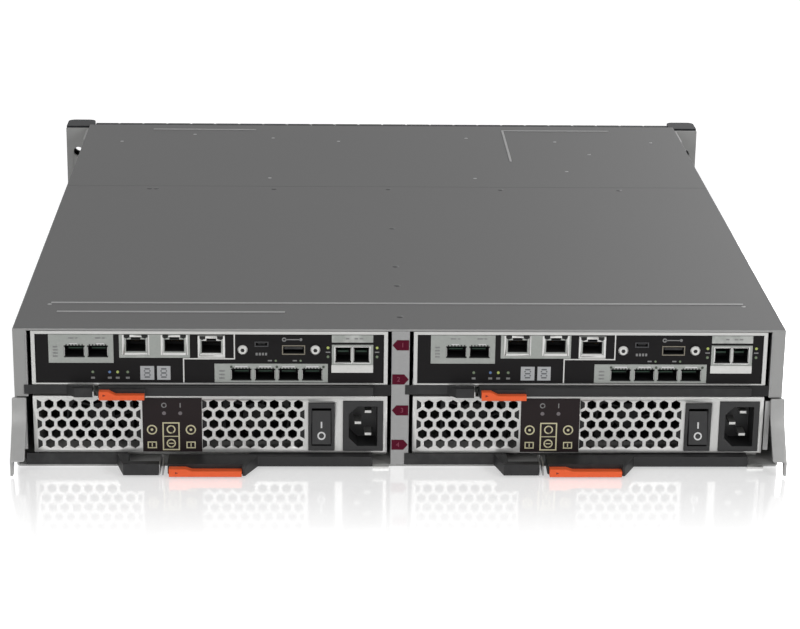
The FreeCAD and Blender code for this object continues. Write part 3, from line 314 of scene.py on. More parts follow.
STEEL_WEAR = (0.5, (205, 205, 203))
FINISHES = {
    "cover": finish("cover_paint", 102, 108, (0.54, 0.6), scale=1500, bump=0.02, specular=0.35),
    # Painted highlight: a lighter tone of the cover paint for its beads and dimples.
    "bead": finish("bead_paint", 178, 190, (0.4, 0.5), scale=1500),
    "rivet": finish("rivet_head", 38, 48, (0.35, 0.45), metal=0.4, scale=1500, bump=0.04),
    "chassis": finish("chassis_paint", (162, 162, 161), (172, 172, 171), (0.4, 0.5), scale=1500),
    "lug": finish("lug_steel", (164, 164, 163), (176, 176, 175), (0.34, 0.44), metal=0.2, scale=300),
    "trim": finish("bright_trim", (222, 222, 220), (234, 234, 232), (0.24, 0.34), metal=0.3, scale=700),
    "bracket": finish("bracket_steel", 144, 160, (0.3, 0.42), metal=0.6, scale=260, stretch=(1, 1, 8)),
    "carrier": finish("carrier_steel", 150, 170, (0.3, 0.42), metal=0.8, scale=300, stretch=(1, 6, 1),
        bump=0.04),
    "plated": finish("plated_steel", (184, 184, 182), (202, 202, 200), (0.3, 0.42), metal=0.7,
        scale=260, stretch=(1, 1, 7)),
    "grille": finish("grille_steel", (196, 196, 194), (212, 212, 210), (0.32, 0.45), metal=0.45,
        scale=420, stretch=(6, 1, 1)),
    "cage": finish("cage_nickel", (142, 146, 142), (160, 163, 159), (0.3, 0.4), metal=0.6,
        scale=600, stretch=(1, 3, 1), bump=0.04, wear=STEEL_WEAR),
    "shell": finish("nickel_shell", (182, 182, 180), (205, 205, 202), (0.24, 0.34), metal=0.8,
        scale=600, stretch=(1, 3, 1), wear=STEEL_WEAR),
    "bus_shell": finish("bus_shell", (124, 119, 106), (142, 136, 122), (0.3, 0.4), metal=0.5, scale=600),
    "dark_shell": finish("dark_shell", (66, 66, 68), (80, 80, 82), (0.3, 0.4), metal=0.4, scale=600),
    "gold": finish("contact_gold", (196, 152, 74), (222, 180, 96), (0.2, 0.3), metal=1.0, scale=700,
        bump=0.02),
    "panel": finish("panel_film", (15, 14, 15), (20, 18, 19), (0.45, 0.56), scale=1900, specular=0.15),
    "label": finish("label_film", (26, 19, 20), (33, 23, 25), (0.45, 0.55), scale=1900, specular=0.2),
    # Painted shade: near-black put in holes, slots, linings and pockets where there is only shade.
    "painted_shade": finish("cavity_black", (12, 12, 13), (20, 20, 21), (0.5, 0.6), scale=1200, specular=0.3),
    "fan": finish("fan_moulding", (15, 15, 16), (20, 20, 21), (0.45, 0.55), scale=1500, bump=0.04),
    "plastic": finish("lever_moulding", (30, 30, 31), (36, 36, 37), (0.44, 0.56), scale=1700, bump=0.08,
        wear=(0.35, 84), specular=0.35),
    "black": finish("black_moulding", (27, 27, 28), (34, 34, 35), (0.38, 0.5), scale=1700, bump=0.07,
        wear=(0.25, 70), specular=0.45),
    "bezel": finish("drive_bezel", (34, 35, 37), (42, 43, 45), (0.62, 0.72), scale=1600, bump=0.05,
        wear=(0.3, (96, 96, 98)), specular=0.3),
    "cap": finish("cap_moulding", (34, 35, 38), (42, 43, 46), (0.6, 0.7), scale=1700, bump=0.06,
        wear=(0.3, (96, 98, 102)), specular=0.3),
    "orange": finish("touch_point_orange", (250, 98, 46), (255, 110, 56), (0.4, 0.5), scale=1700,
        bump=0.04, wear=(0.3, (250, 150, 110)), specular=0.4),
    "board": finish("solder_mask", (18, 62, 40), (26, 78, 52), (0.3, 0.42), scale=500, bump=0.05),
    "mark": finish("printed_mark", (214, 208, 170), (224, 218, 182), (0.5, 0.6), bump=0.02),
    "grey_mark": finish("printed_grey", 128, 142, (0.5, 0.6), bump=0.02),
    "white_mark": finish("printed_white", 214, 226, (0.5, 0.6), bump=0.02),
    "spot": finish("arrow_spot", (120, 26, 18), (134, 32, 22), (0.45, 0.55), bump=0.02),
    "tag": finish("tag_maroon", (82, 10, 34), (92, 15, 40), (0.5, 0.6), bump=0.02, specular=0.12),
    "tag_mark": finish("tag_print", (138, 72, 90), (150, 84, 100), (0.5, 0.6), bump=0.02, specular=0.12),
    "display": finish("display_window", (178, 180, 182), (190, 192, 194), (0.2, 0.3), scale=900,
        bump=0.02, coat=0.3),
    "segment": finish("display_segment", (84, 87, 90), (96, 99, 102), (0.3, 0.4), scale=900, bump=0.02),
    "green": lamp_finish("lamp_green", (168, 182, 92), 0.15),
    "blue": lamp_finish("lamp_blue", (72, 106, 156), 0.15),
    "pale": lamp_finish("lamp_pale", (108, 126, 96), 0.0),
    "dim": lamp_finish("lamp_dim", (104, 96, 100), 0.0),
    "window": lamp_finish("lamp_window", (50, 62, 48), 0.0),
}


def coat_with(mesh, look):
    mesh.materials.clear()
    mesh.materials.append(FINISHES[look])


# Making pieces

MERGE_DISTANCE = 1e-5
BEVEL_ANGLE = math.radians(32)
SHARP_ANGLE = math.radians(38)


def circle(radius, sides):
    turns = [2 * math.pi * step / sides for step in range(sides)]
    return [(radius * math.cos(turn), radius * math.sin(turn)) for turn in turns]


class Shape:
    """A mesh put together in millimetres around an origin across, each part with its own finish."""

    def __init__(self, across=0.0):
        self.bm = bmesh.new()
        self.finishes = []
        self.across = across

    def index(self, name):
        if name not in self.finishes:
            self.finishes.append(name)
        return self.finishes.index(name)

    def prism(self, corners, start, end, name, axis=1):
        """A flat outline carried along an axis, forward unless it is given, from start to end."""
        others = [item for item in range(3) if item != axis]
        rings = []
        for level in (start, end):
            ring = []
            for corner in corners:
                point = [0, 0, 0]
                point[axis] = level
                point[others[0]], point[others[1]] = corner
                point[0] += self.across
                ring.append(self.bm.verts.new(point))
            rings.append(ring)
        faces = [self.bm.faces.new(rings[0]), self.bm.faces.new(list(reversed(rings[1])))]
        count = len(corners)
        for item in range(count):
            after = (item + 1) % count
            faces.append(self.bm.faces.new(
                (rings[0][item], rings[1][item], rings[1][after], rings[0][after])))
        material = self.index(name)
        for face in faces:
            face.material_index = material
        bmesh.ops.recalc_face_normals(self.bm, faces=faces)

    def box(self, low, high, name):
        corners = [(low[0], low[2]), (high[0], low[2]), (high[0], high[2]), (low[0], high[2])]
        self.prism(corners, low[1], high[1], name)

    def disc(self, across, up, rear, radius, depth, name, sides=24):
        """A round post from its rear face inwards."""
        corners = [(across + x, up + z) for x, z in circle(radius, sides)]
        self.prism(corners, rear, rear + depth, name)

    def ring(self, across, up, rear, radius, width, depth, name, sides=28):
        """A flat ring in the plane of the rear."""
        outer, inner = circle(radius, sides), circle(radius - width, sides)
        for step in range(sides):
            after = (step + 1) % sides
            corners = [(across + x, up + z)
                       for x, z in (outer[step], outer[after], inner[after], inner[step])]
            self.prism(corners, rear, rear + depth, name)

    def frame_of(self, left, low, right, high, rear, depth, width, name):
        """A rectangular picture frame in the plane of the rear."""
        end = rear + depth
        self.box((left, rear, low), (left + width, end, high), name)
        self.box((right - width, rear, low), (right, end, high), name)
        self.box((left + width, rear, low), (right - width, end, low + width), name)
        self.box((left + width, rear, high - width), (right - width, end, high), name)

    def cup(self, left, low, right, high, rear, depth, wall, name):
        """A lining open to the rear: four walls and a back."""
        self.frame_of(left, low, right, high, rear, depth, wall, name)
        end = rear + depth
        self.box((left + wall, end - wall, low + wall), (right - wall, end, high - wall), name)

    def bridge(self, rows):
        """Faces between rows of vertices that go round alike."""
        for lower, upper in zip(rows, rows[1:]):
            for step in range(len(lower)):
                after = (step + 1) % len(lower)
                self.bm.faces.new((lower[step], lower[after], upper[after], upper[step]))

    def made(self, name):
        """The finished mesh object, in metres, at the origin."""
        bmesh.ops.remove_doubles(self.bm, verts=self.bm.verts, dist=MERGE_DISTANCE)
        bmesh.ops.scale(self.bm, vec=(MM, MM, MM), verts=self.bm.verts)
        mesh = bpy.data.meshes.new(name)
        self.bm.to_mesh(mesh)
        self.bm.free()
        for item in self.finishes:
            mesh.materials.append(FINISHES[item])
        return place(name, mesh)

    def fix(self, name, width, body, slot_name, side=None):
        """Make the piece, round it and hang it on its body, with the side in both names if given."""
        ending = "_" + side if side else ""
        attach(soften(self.made(name + ending), width), body + ending, slot_name)


def plain_mesh(piece):
    """The evaluated result of a piece's modifiers or curve."""
    bpy.context.view_layer.update()
    graph = bpy.context.evaluated_depsgraph_get()
    return bpy.data.meshes.new_from_object(piece.evaluated_get(graph))


def settle(piece):
    """Turn the result of a piece's modifiers into its plain mesh."""
    mesh = plain_mesh(piece)
    piece.modifiers.clear()
    piece.data = mesh
    return piece


def soften(piece, width):
    """Round a piece's edges by a width in millimetres and shade it smooth between them."""
    if width:
        bevel = piece.modifiers.new("soften", "BEVEL")
        bevel.width = width * MM
        bevel.segments = 2
        bevel.limit_method = "ANGLE"
        bevel.angle_limit = BEVEL_ANGLE
        bevel.use_clamp_overlap = True
        settle(piece)
    piece.data.shade_smooth()
    piece.data.set_sharp_from_angle(angle=SHARP_ANGLE)
    if width:
        weighted = piece.modifiers.new("flat_faces_lead", "WEIGHTED_NORMAL")
        weighted.keep_sharp = True
        settle(piece)
    return piece


def attach(piece, body, slot_name, *nodes):
    """Hang a finished piece on its body and hide the nodes that it stands for; slot_name is not used."""
    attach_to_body(piece, body)
    if nodes:
        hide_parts(*nodes)


def span(mesh):
    """The length of the diagonal of a mesh's box."""
    points = [vertex.co for vertex in mesh.vertices]
    low = Vector([min(point[axis] for point in points) for axis in range(3)])
    high = Vector([max(point[axis] for point in points) for axis in range(3)])
    return (high - low).length


def solids_of(node):
    """A merged copy of a CAD node, one mesh for each of its solids, largest first."""
    whole = bmesh.new()
    whole.from_mesh(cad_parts[node].data)
    bmesh.ops.remove_doubles(whole, verts=whole.verts, dist=2e-6)
    whole.faces.ensure_lookup_table()
    seen = set()
    parts = []
    for start in whole.faces:
        if start.index in seen:
            continue
        seen.add(start.index)
        stack = [start]
        members = set()
        while stack:
            current = stack.pop()
            members.add(current.index)
            for edge in current.edges:
                for other in edge.link_faces:
                    if other.index not in seen:
                        seen.add(other.index)
                        stack.append(other)
        piece = whole.copy()
        gone = [face for face in piece.faces if face.index not in members]
        bmesh.ops.delete(piece, geom=gone, context="FACES")
        mesh = bpy.data.meshes.new(node)
        piece.to_mesh(mesh)
        piece.free()
        parts.append(mesh)
    whole.free()
    parts.sort(key=lambda mesh: -span(mesh))
    return parts


def dress(node, body, slot_name, plans):
    """Stand a rounded and finished piece in for each solid of a node, by the plans from the largest."""
    for mesh, (name, look, width) in zip(solids_of(node), plans):
        mesh.name = name
        coat_with(mesh, look)
        attach(soften(place(name, mesh), width), body, slot_name, node)


def dress_side(side, table):
    """Dress the nodes of one bay from a table whose names lack the side."""
    for node, body, slot_name, plans in table:
        named = [("%s_%s" % (name, side), look, width) for name, look, width in plans]
        dress("%s_%s" % (node, side), "%s_%s" % (body, side), slot_name, named)


# Repeated pieces, made with geometry nodes

def copies_tree(name, **kinds):
    """A tree that takes a piece and the named inputs, with the sockets that hold them."""
    tree = bpy.data.node_groups.new(name, "GeometryNodeTree")
    sockets(tree, "INPUT", Geometry="Geometry", **kinds)
    sockets(tree, "OUTPUT", Geometry="Geometry")
    return tree, add(tree, "NodeGroupInput").outputs


def end_tree(tree, given, points):
    """Put the given piece on the points and realize its copies."""
    copies = add(tree, "GeometryNodeInstanceOnPoints", {"Points": points, "Instance": given["Geometry"]})
    real = add(tree, "GeometryNodeRealizeInstances", {"Geometry": copies.outputs["Instances"]})
    add(tree, "NodeGroupOutput", {"Geometry": real.outputs["Geometry"]})
    return tree


def scatter_tree():
    """Copies of a piece at each point of another object."""
    tree, given = copies_tree("copies_at_places", Places="Object")
    places = add(tree, "GeometryNodeObjectInfo", {"Object": given["Places"]})
    return end_tree(tree, given, places.outputs["Geometry"])


def row_tree():
    """Copies of a piece in a straight row."""
    tree, given = copies_tree("copies_in_a_row", Count="Int", Step="Vector")
    line = add(tree, "GeometryNodeMeshLine", {"Count": given["Count"], "Offset": given["Step"]},
               mode="OFFSET")
    return end_tree(tree, given, line.outputs["Mesh"])


SCATTER = scatter_tree()
ROW = row_tree()


def grow(piece, tree, values):
    """Run a node tree on a piece with named inputs, and keep the result as its mesh."""
    modifier = piece.modifiers.new("grow", "NODES")
    modifier.node_group = tree
    for item in tree.interface.items_tree:
        if item.item_type == "SOCKET" and item.in_out == "INPUT" and item.name in values:
            modifier[item.identifier] = values[item.name]
    return settle(piece)


def scattered(shape, name, places):
    """Copies of a small shape, made around the origin, at places in millimetres."""
    piece = shape.made(name)
    points = bpy.data.meshes.new(name + "_places")
    points.from_pydata([tuple(value * MM for value in point) for point in places], [], [])
    holder = place(name + "_places", points)
    grow(piece, SCATTER, {"Places": holder})
    bpy.data.objects.remove(holder)
    return piece


def in_a_row(shape, name, count, step):
    """Copies of a small shape in a row across the rear, a step in millimetres apart."""
    return grow(shape.made(name), ROW, {"Count": count, "Step": [step * MM, 0, 0]})


def joined(name, pieces):
    """Several finished pieces as one mesh."""
    whole = bmesh.new()
    finishes = []
    for piece in pieces:
        before = len(whole.faces)
        whole.from_mesh(piece.data)
        whole.faces.ensure_lookup_table()
        numbers = []
        for item in piece.data.materials:
            if item not in finishes:
                finishes.append(item)
            numbers.append(finishes.index(item))
        for face in whole.faces[before:]:
            face.material_index = numbers[min(face.material_index, len(numbers) - 1)]
    mesh = bpy.data.meshes.new(name)
    whole.to_mesh(mesh)
    whole.free()
    for item in finishes:
        mesh.materials.append(item)
    for piece in pieces:
        bpy.data.objects.remove(piece)
    return place(name, mesh)


# Chassis

# A node, its slot, finish and rounding, and the names of its solids.
CHASSIS_PLANS = (
    ("chassis_shell", "chassis_steel", "chassis", 0.35, "chassis_walls"),
    ("rear_cover", "cover_steel", "cover", 0.3, "rear_cover_plate"),
    ("front_cover", "cover_steel", "cover", 0.3, "front_cover_plate"),
    ("centre_divider", "chassis_steel", "bracket", 0.3, "divider_channel"),
    ("bay_shelves", "chassis_steel", "plated", 0.15, "shelf_a", "shelf_b"),
    ("rear_lugs", "bare_steel", "lug", 0.75, "lug_a", "lug_b"),
    ("rack_ears", "ear_steel", "chassis", 0.3, "ear_a", "ear_b"),
    ("ear_caps", "cap_plastic", "cap", 0.5, "cap_a", "cap_b"))

# Marks on the covers: across the chassis, and forward from its rear plane.
RIVETS = (
    (0, 22.7), (0, 82.9), (0, 122), (0, 206), (0, 302.5), (-165.5, 302), (-161, 302),
    (-79.4, 302), (78.1, 302), (160.8, 302))
DIMPLES = (
    (-206.7, 44.7), (205.7, 43.7), (-142, 455), (-83, 445), (-195, 433), (-34, 436), (62, 447),
    (128, 437), (150, 400), (200, 436), (-83, 331), (62, 332), (129, 352))

# The height of each arrow tag's middle, and which way it points.
TAGS = ((75.3, -1), (54.3, 1), (35.1, -1), (13.6, 1))
TAG_HALF_LENGTH, TAG_HALF_HEIGHT, TAG_POINT = 4.8, 3.1, 2.6


def raise_beads(mesh):
    """Painted highlights on a cover: its pressed beads lighter than its flat, and its rear edge in the
    shell's lighter tone.
    """
    mesh.materials.append(FINISHES["bead"])
    mesh.materials.append(FINISHES["chassis"])
    for face in mesh.polygons:
        if face.center.z > (TOP + 0.1) * MM:
            face.material_index = 1
        elif face.center.y < (REAR + 0.5) * MM:
            face.material_index = 2


def make_chassis():
    for node, slot_name, look, width, *names in CHASSIS_PLANS:
        dress(node, "chassis", slot_name, [(name, look, width) for name in names])
    # Painted highlights on the beads and rear edges of both covers.
    for name in ("rear_cover_plate", "front_cover_plate"):
        raise_beads(bpy.data.objects[name].data)
    coat_with(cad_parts["midplane"].data, "board")
    coat_with(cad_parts["drive_cage"].data, "plated")


def dome(radius, height, look):
    """A low rounded head on the plane z = 0."""
    shape = Shape()
    rings = 4
    rows = []
    for level in range(rings):
        turn = math.pi / 2 * level / rings
        rows.append([shape.bm.verts.new((x, y, height * math.sin(turn)))
                     for x, y in circle(radius * math.cos(turn), 16)])
    tip = shape.bm.verts.new((0, 0, height))
    shape.bridge(rows)
    for here, after in zip(rows[-1], rows[-1][1:] + rows[-1][:1]):
        shape.bm.faces.new((here, after, tip))
    shape.bm.faces.new(list(reversed(rows[0])))
    shape.index(look)
    return shape


def make_cover_marks():
    """Dark rivet heads sunk a little in the covers, and dimples on them in the painted highlight tone."""
    for name, marks, radius, height, sunk, look in (
            ("cover_rivets", RIVETS, 2.1, 0.38, 0.1, "rivet"),
            ("cover_dimples", DIMPLES, 1.3, 0.22, 0, "bead")):
        places = [(x, REAR + y, TOP - sunk) for x, y in marks]
        piece = scattered(dome(radius, height, look), name, places)
        attach(soften(piece, 0), "chassis", "cover_steel")


def tag_number(number, across, up):
    """A plain numeral, flat on the rear face of its tag."""
    curve = bpy.data.curves.new("tag_number_%d" % number, "FONT")
    curve.body = str(number)
    curve.size = 4 * MM
    curve.align_x = "CENTER"
    curve.align_y = "CENTER"
    curve.extrude = 0.03 * MM
    flat = place("flat_number", curve)
    mesh = plain_mesh(flat)
    bpy.data.objects.remove(flat)
    mesh.transform(Matrix.Translation(Vector((across, REAR - 0.27, up)) * MM)
                   @ Matrix.Rotation(math.pi / 2, 4, "X"))
    coat_with(mesh, "tag_mark")
    return place("tag_number_%d" % number, mesh)


def make_tags():
    """Arrow tags down the divider, each with a plain number."""
    for number, (height, way) in enumerate(TAGS, start=1):
        low, high = height - TAG_HALF_HEIGHT, height + TAG_HALF_HEIGHT
        tail, tip = -way * TAG_HALF_LENGTH, way * TAG_HALF_LENGTH
        neck = way * (TAG_HALF_LENGTH - TAG_POINT)
        shape = Shape()
        shape.prism([(tail, low), (neck, low), (tip, height), (neck, high), (tail, high)],
                    REAR - 0.25, REAR, "tag")
        tag = soften(shape.made("tag_%d" % number), 0.08)
        whole = joined("arrow_tag_%d" % number, [tag, tag_number(number, -way * 1.1, height)])
        attach(whole, "chassis", "chassis_steel")


def make_bay_trim():
    """Thin strips that the photograph shows beside the controllers, and a lip of the floor in each bay."""
    shape = Shape()
    for side, way in WAYS.items():
        edge = BAY[side] + way * 105.6
        shape.box((edge - 0.35, REAR - 0.3, 46.5), (edge + 0.35, REAR + 4, 81), "bracket")
        lip = BAY[side] + 94.5
        shape.box((lip, REAR - 4, 0.3), (lip + 9.5, REAR, 1.4), "trim")
    shape.fix("bay_trim", 0.1, "chassis", "bare_steel")


def make_side_flanges():
    """The light inner flanges of the side walls, between the lugs and the canisters."""
    shape = Shape()
    lug_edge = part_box("rear_lugs")[1].x / MM - 8.2
    for side, way in WAYS.items():
        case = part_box("power_case_" + side)
        inner = max(abs(case[0].x), abs(case[1].x)) / MM + 1.0
        left, right = sorted((way * inner, way * lug_edge))
        shape.box((left, REAR + 0.3, 10.5), (right, REAR + 1.3, 41), "lug")
    shape.fix("side_flanges", 0.1, "chassis", "bare_steel")


# Controllers. Places across are measured from the middle of the bay.

# A node, its body and slot, and the name, finish and rounding of each of its solids.
CONTROLLER_PLANS = (
    ("controller_tray", "controller", "canister_steel", [("controller_case", "plated", 0.35)]),
    ("controller_faceplate", "controller", "panel_black", [
        ("controller_panel", "panel", 0), ("controller_pull", "plastic", 0.7)]),
    ("controller_ports", "controller", "port_metal", [
        ("cable_port_plate", "cage", 0.15), ("network_pair_shell", "cage", 0.15),
        ("card_port_plate", "cage", 0.15), ("expansion_shell", "cage", 0.15),
        ("management_shell", "shell", 0.15), ("wide_bus_shell", "bus_shell", 0.15),
        ("small_bus_shell", "dark_shell", 0.15)]),
    ("controller_lever", "controller_lever", "lever_plastic", [("controller_cam_lever", "plastic", 0.5)]),
    ("controller_latch", "controller_latch", "latch_orange", [("controller_touch_latch", "orange", 0.3)]))

PANEL = REAR + 0.9
LAMP_RADIUS = 0.8
LAMPS_LOW = ((-67.7, "pale"), (-58, "blue"), (-53.4, "green"), (-47.6, "pale"))
DISPLAYS = ((-40.3, -32.3), (-30.6, -22.9))
SCREWS = (18.9, 60.9)
# The centre and bottom of each network socket's mouth.
NETWORK_MOUTHS = ((-42.6, 70.8), (-20.4, 70.8), (0.9, 70))
# The centre, bottom, width and height of each cable port's mouth; the last two are for expansion.
CABLE_MOUTHS = (
    (18, 53.1, 11.9, 7.3), (31.8, 53.1, 11.9, 7.3), (45.4, 53.1, 11.9, 7.3),
    (59.1, 53.1, 11.9, 7.3), (-78, 67.2, 11.9, 7.2), (-64.6, 67.2, 11.9, 7.2),
    (77, 64.4, 9.4, 9.4), (87.6, 64.4, 9.4, 9.4))
WIDE_BUS, SMALL_BUS = 48.3, 29.8


def segment_digit(shape, across, up, rear):
    """The unlit bars of a seven-bar figure."""
    wide, high, bar = 3.1, 5.0, 0.85
    front = rear + 0.06
    for level in (-1, 0, 1):
        height = up + level * high / 2
        shape.box((across - wide / 2, rear, height - bar / 2),
                  (across + wide / 2, front, height + bar / 2), "segment")
    for way in (-1, 1):
        for level in (-1, 1):
            low = up + (level - 1) * high / 4 + bar
            edge = across + way * wide / 2
            shape.box((edge - bar / 2, rear, low), (edge + bar / 2, front, low + high / 2 - 2 * bar),
                      "segment")


def controller_marks(side):
    """What is printed or fixed on the controller's panel."""
    shape = Shape(BAY[side])
    proud, mark = PANEL - 0.25, PANEL - 0.05
    for across, name in LAMPS_LOW:
        shape.disc(across, 58.3, proud, LAMP_RADIUS, 0.3, name)
        shape.box((across - 1.1, mark, 54.1), (across + 1.1, PANEL, 55.3), "grey_mark")
    for across in (38, 52.4):
        shape.disc(across, 65.4, proud, 0.65, 0.3, "pale")
        shape.box((across - 4.6, mark, 65), (across - 2.2, PANEL, 65.8), "grey_mark")
    for across in (68.2, 96.6):
        shape.disc(across, 73.4, proud, LAMP_RADIUS, 0.3, "green")
        shape.disc(across, 67.9, proud, LAMP_RADIUS, 0.3, "pale")
        shape.box((across - 1.3, mark, 70.3), (across + 1.3, PANEL, 71), "grey_mark")
    for left, right in DISPLAYS:
        shape.box((left, PANEL - 0.35, 53.6), (right, PANEL, 62), "display")
        segment_digit(shape, (left + right) / 2, 57.8, PANEL - 0.4)
    for left, low, right, high in ((-15.6, 51.9, -14.9, 66.9), (-14.9, 66.2, 13.8, 66.9),
                                   (13.8, 66.2, 14.5, 81.5)):
        shape.box((left, PANEL - 0.3, low), (right, PANEL, high), "shell")
    shape.box((70.4, PANEL - 0.4, 76.7), (94.3, PANEL, 81.2), "cage")
    for across in (78.5, 83.5, 86.5):
        shape.box((across, PANEL - 0.45, 78.6), (across + 2, PANEL - 0.4, 79.5), "grey_mark")
    for step in range(4):
        left = 26.4 + step * 1.8
        shape.box((left, mark, 68.6), (left + 1.2, PANEL, 70.2), "grey_mark")
    shape.box((WIDE_BUS - 5, mark, 78), (WIDE_BUS + 3.6, PANEL, 78.6), "grey_mark")
    shape.ring(WIDE_BUS - 5.4, 78.3, mark, 1.3, 0.7, 0.05, "grey_mark", 16)
    shape.disc(WIDE_BUS + 4.2, 78.3, mark, 0.9, 0.05, "grey_mark", 16)
    shape.fix("panel_fittings", 0, "controller", "port_metal", side)


def hex_screw():
    """A flanged screw head with a six-sided hollow, facing the rear, around the origin."""
    shape = Shape()
    sides = 24
    rim, crown, hole = 2.9, 2.3, 1.25
    rows = []
    for reach, rear in ((rim, 0.9), (rim, -0.1), (crown, -0.75), (hole * 1.25, -0.8)):
        rows.append([shape.bm.verts.new((x, rear, z)) for x, z in circle(reach, sides)])
    for rear in (-0.72, 0.4):
        row = []
        for x, z in circle(1, sides):
            sector = math.atan2(z, x) % (math.pi / 3) - math.pi / 6
            reach = hole * math.cos(math.pi / 6) / math.cos(sector)
            row.append(shape.bm.verts.new((reach * x, rear, reach * z)))
        rows.append(row)
    shape.bridge(rows)
    shape.bm.faces.new(rows[-1])
    shape.bm.faces.new(list(reversed(rows[0])))
    bmesh.ops.recalc_face_normals(shape.bm, faces=shape.bm.faces)
    shape.index("shell")
    return shape


def panel_screws(side):
    """Two bright screws, with painted shade in their six-sided hollows."""
    places = [(BAY[side] + across, REAR + 0.2, 72.1) for across in SCREWS]
    heads = scattered(hex_screw(), "screw_heads_" + side, places)
    # Painted shade: a dark plug in each screw's hollow.
    hollow = Shape()
    hollow.disc(0, 0, -0.66, 1.3, 0.9, "painted_shade", 6)
    hollows = scattered(hollow, "screw_hollows_" + side, places)
    whole = joined("panel_screws_" + side, [heads, hollows])
    attach(soften(whole, 0), "controller_" + side, "port_metal")


def network_bezels(side):
    """Bright frames round the network sockets and the expansion mouths, with painted shade in the notches at
    the top corners of each socket.
    """
    shape = Shape(BAY[side])
    rear = REAR + 0.35
    front = rear + 0.5
    for x, low in NETWORK_MOUTHS:
        shape.frame_of(x - 7.8, low - 1.9, x + 7.8, low + 10.2, rear, 0.5, 1.2, "trim")
        for left in (x - 6.6, x + 5.7):
            shape.box((left, rear + 0.2, low - 0.7), (left + 0.9, front, low + 9), "cage")
        # Painted shade in the notches at the top corners of the mouth.
        for way in (-1, 1):
            shape.prism([(x + way * 3.4, low + 8.7), (x + way * 3.4, low + 10.3), (x + way * 6.8, low + 10.3),
                         (x + way * 6.8, low + 8.9), (x + way * 5.4, low + 8.0)],
                        rear - 0.06, front, "painted_shade")
    for x, low, wide, high in CABLE_MOUTHS[6:]:
        shape.frame_of(x - 5.2, 63.9, x + 5.2, 74.3, rear, 0.5, 0.5, "trim")
    shape.box((70.2, rear, 58.2), (94.4, front, 62.9), "shell")
    shape.fix("socket_bezels", 0.08, "controller", "port_metal", side)


def port_teeth(side):
    """The spring fingers along the top of each cable port, shown as a row of slots in painted shade."""
    rows = []
    for number, (across, low, wide, high) in enumerate(CABLE_MOUTHS[:6]):
        tooth = Shape(BAY[side])
        left, top = across - wide / 2 + 0.9, low + high
        tooth.box((left, REAR + 0.72, top - 0.15), (left + 0.9, REAR + 0.85, top + 0.75), "painted_shade")
        rows.append(in_a_row(tooth, "teeth_%s_%d" % (side, number), 6, 1.85))
    attach(soften(joined("port_fingers_" + side, rows), 0), "controller_" + side, "port_metal")


def controller_catch(side):
    """The thin catch of spring steel between the pull and the touch latch."""
    shape = Shape(BAY[side] - 67.3)
    shape.box((-0.3, REAR - 1.2, 44.6), (0.4, REAR - 0.4, 50.6), "plated")
    shape.box((-0.3, REAR - 6.2, 44.6), (0.4, REAR - 1.2, 48.6), "plated")
    shape.fix("controller_catch", 0.15, "controller", "port_metal", side)


def pivot_pocket(side):
    """A plate of painted shade in the pocket beyond the end of the controller's lever."""
    shape = Shape(BAY[side])
    shape.box((92.9, REAR - 0.5, 44.4), (104.8, REAR - 0.1, 51), "painted_shade")
    shape.fix("pivot_pocket", 0, "controller", "panel_black", side)


def latch_spot(kind, side, inset, height):
    """A small dark arrow moulded in a touch latch."""
    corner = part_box("%s_latch_%s" % (kind, side))[0]
    front = corner.y / MM
    shape = Shape(corner.x / MM + inset)
    shape.prism([(-0.8, height - 0.7), (0.9, height), (-0.8, height + 0.7)],
                front - 0.06, front + 0.1, "spot")
    shape.fix(kind + "_latch_spot", 0, kind + "_latch", "latch_orange", side)


def network_linings(side):
    """Inside each network socket: a stepped lining of painted shade, eight contacts and two lamp windows."""
    mouth = REAR + 1.0
    lining = Shape(BAY[side])
    for x, low in NETWORK_MOUTHS:
        lining.cup(x - 5.65, low + 0.05, x + 5.65, low + 7.35, mouth + 0.4, 12.2, 0.35, "painted_shade")
        lining.cup(x - 2.75, low + 7.35, x + 2.75, low + 8.95, mouth + 0.4, 9, 0.3, "painted_shade")
        for way in (-1, 1):
            lining.prism([(x + way * 3.2, low + 10.4), (x + way * 6.6, low + 10.4),
                          (x + way * 6.6, low + 7.9), (x + way * 5.2, low + 7.9)],
                         REAR + 0.68, REAR + 0.9, "window")
            lining.disc(x + way * 7.1, low - 1.6, REAR + 0.66, 0.45, 0.2, "window", 12)
    pieces = [lining.made("network_linings_" + side)]
    for number, (across, low) in enumerate(NETWORK_MOUTHS):
        contact = Shape(BAY[side] + across - 3.57)
        contact.prism([(mouth + 2.0, low + 6.6), (mouth + 8.5, low + 3.4), (mouth + 8.5, low + 3.1),
                       (mouth + 1.6, low + 6.4)], -0.2, 0.2, "gold", axis=0)
        pieces.append(in_a_row(contact, "contacts_%s_%d" % (side, number), 8, 1.02))
    whole = joined("network_socket_insides_" + side, pieces)
    attach(soften(whole, 0), "controller_" + side, "port_metal")


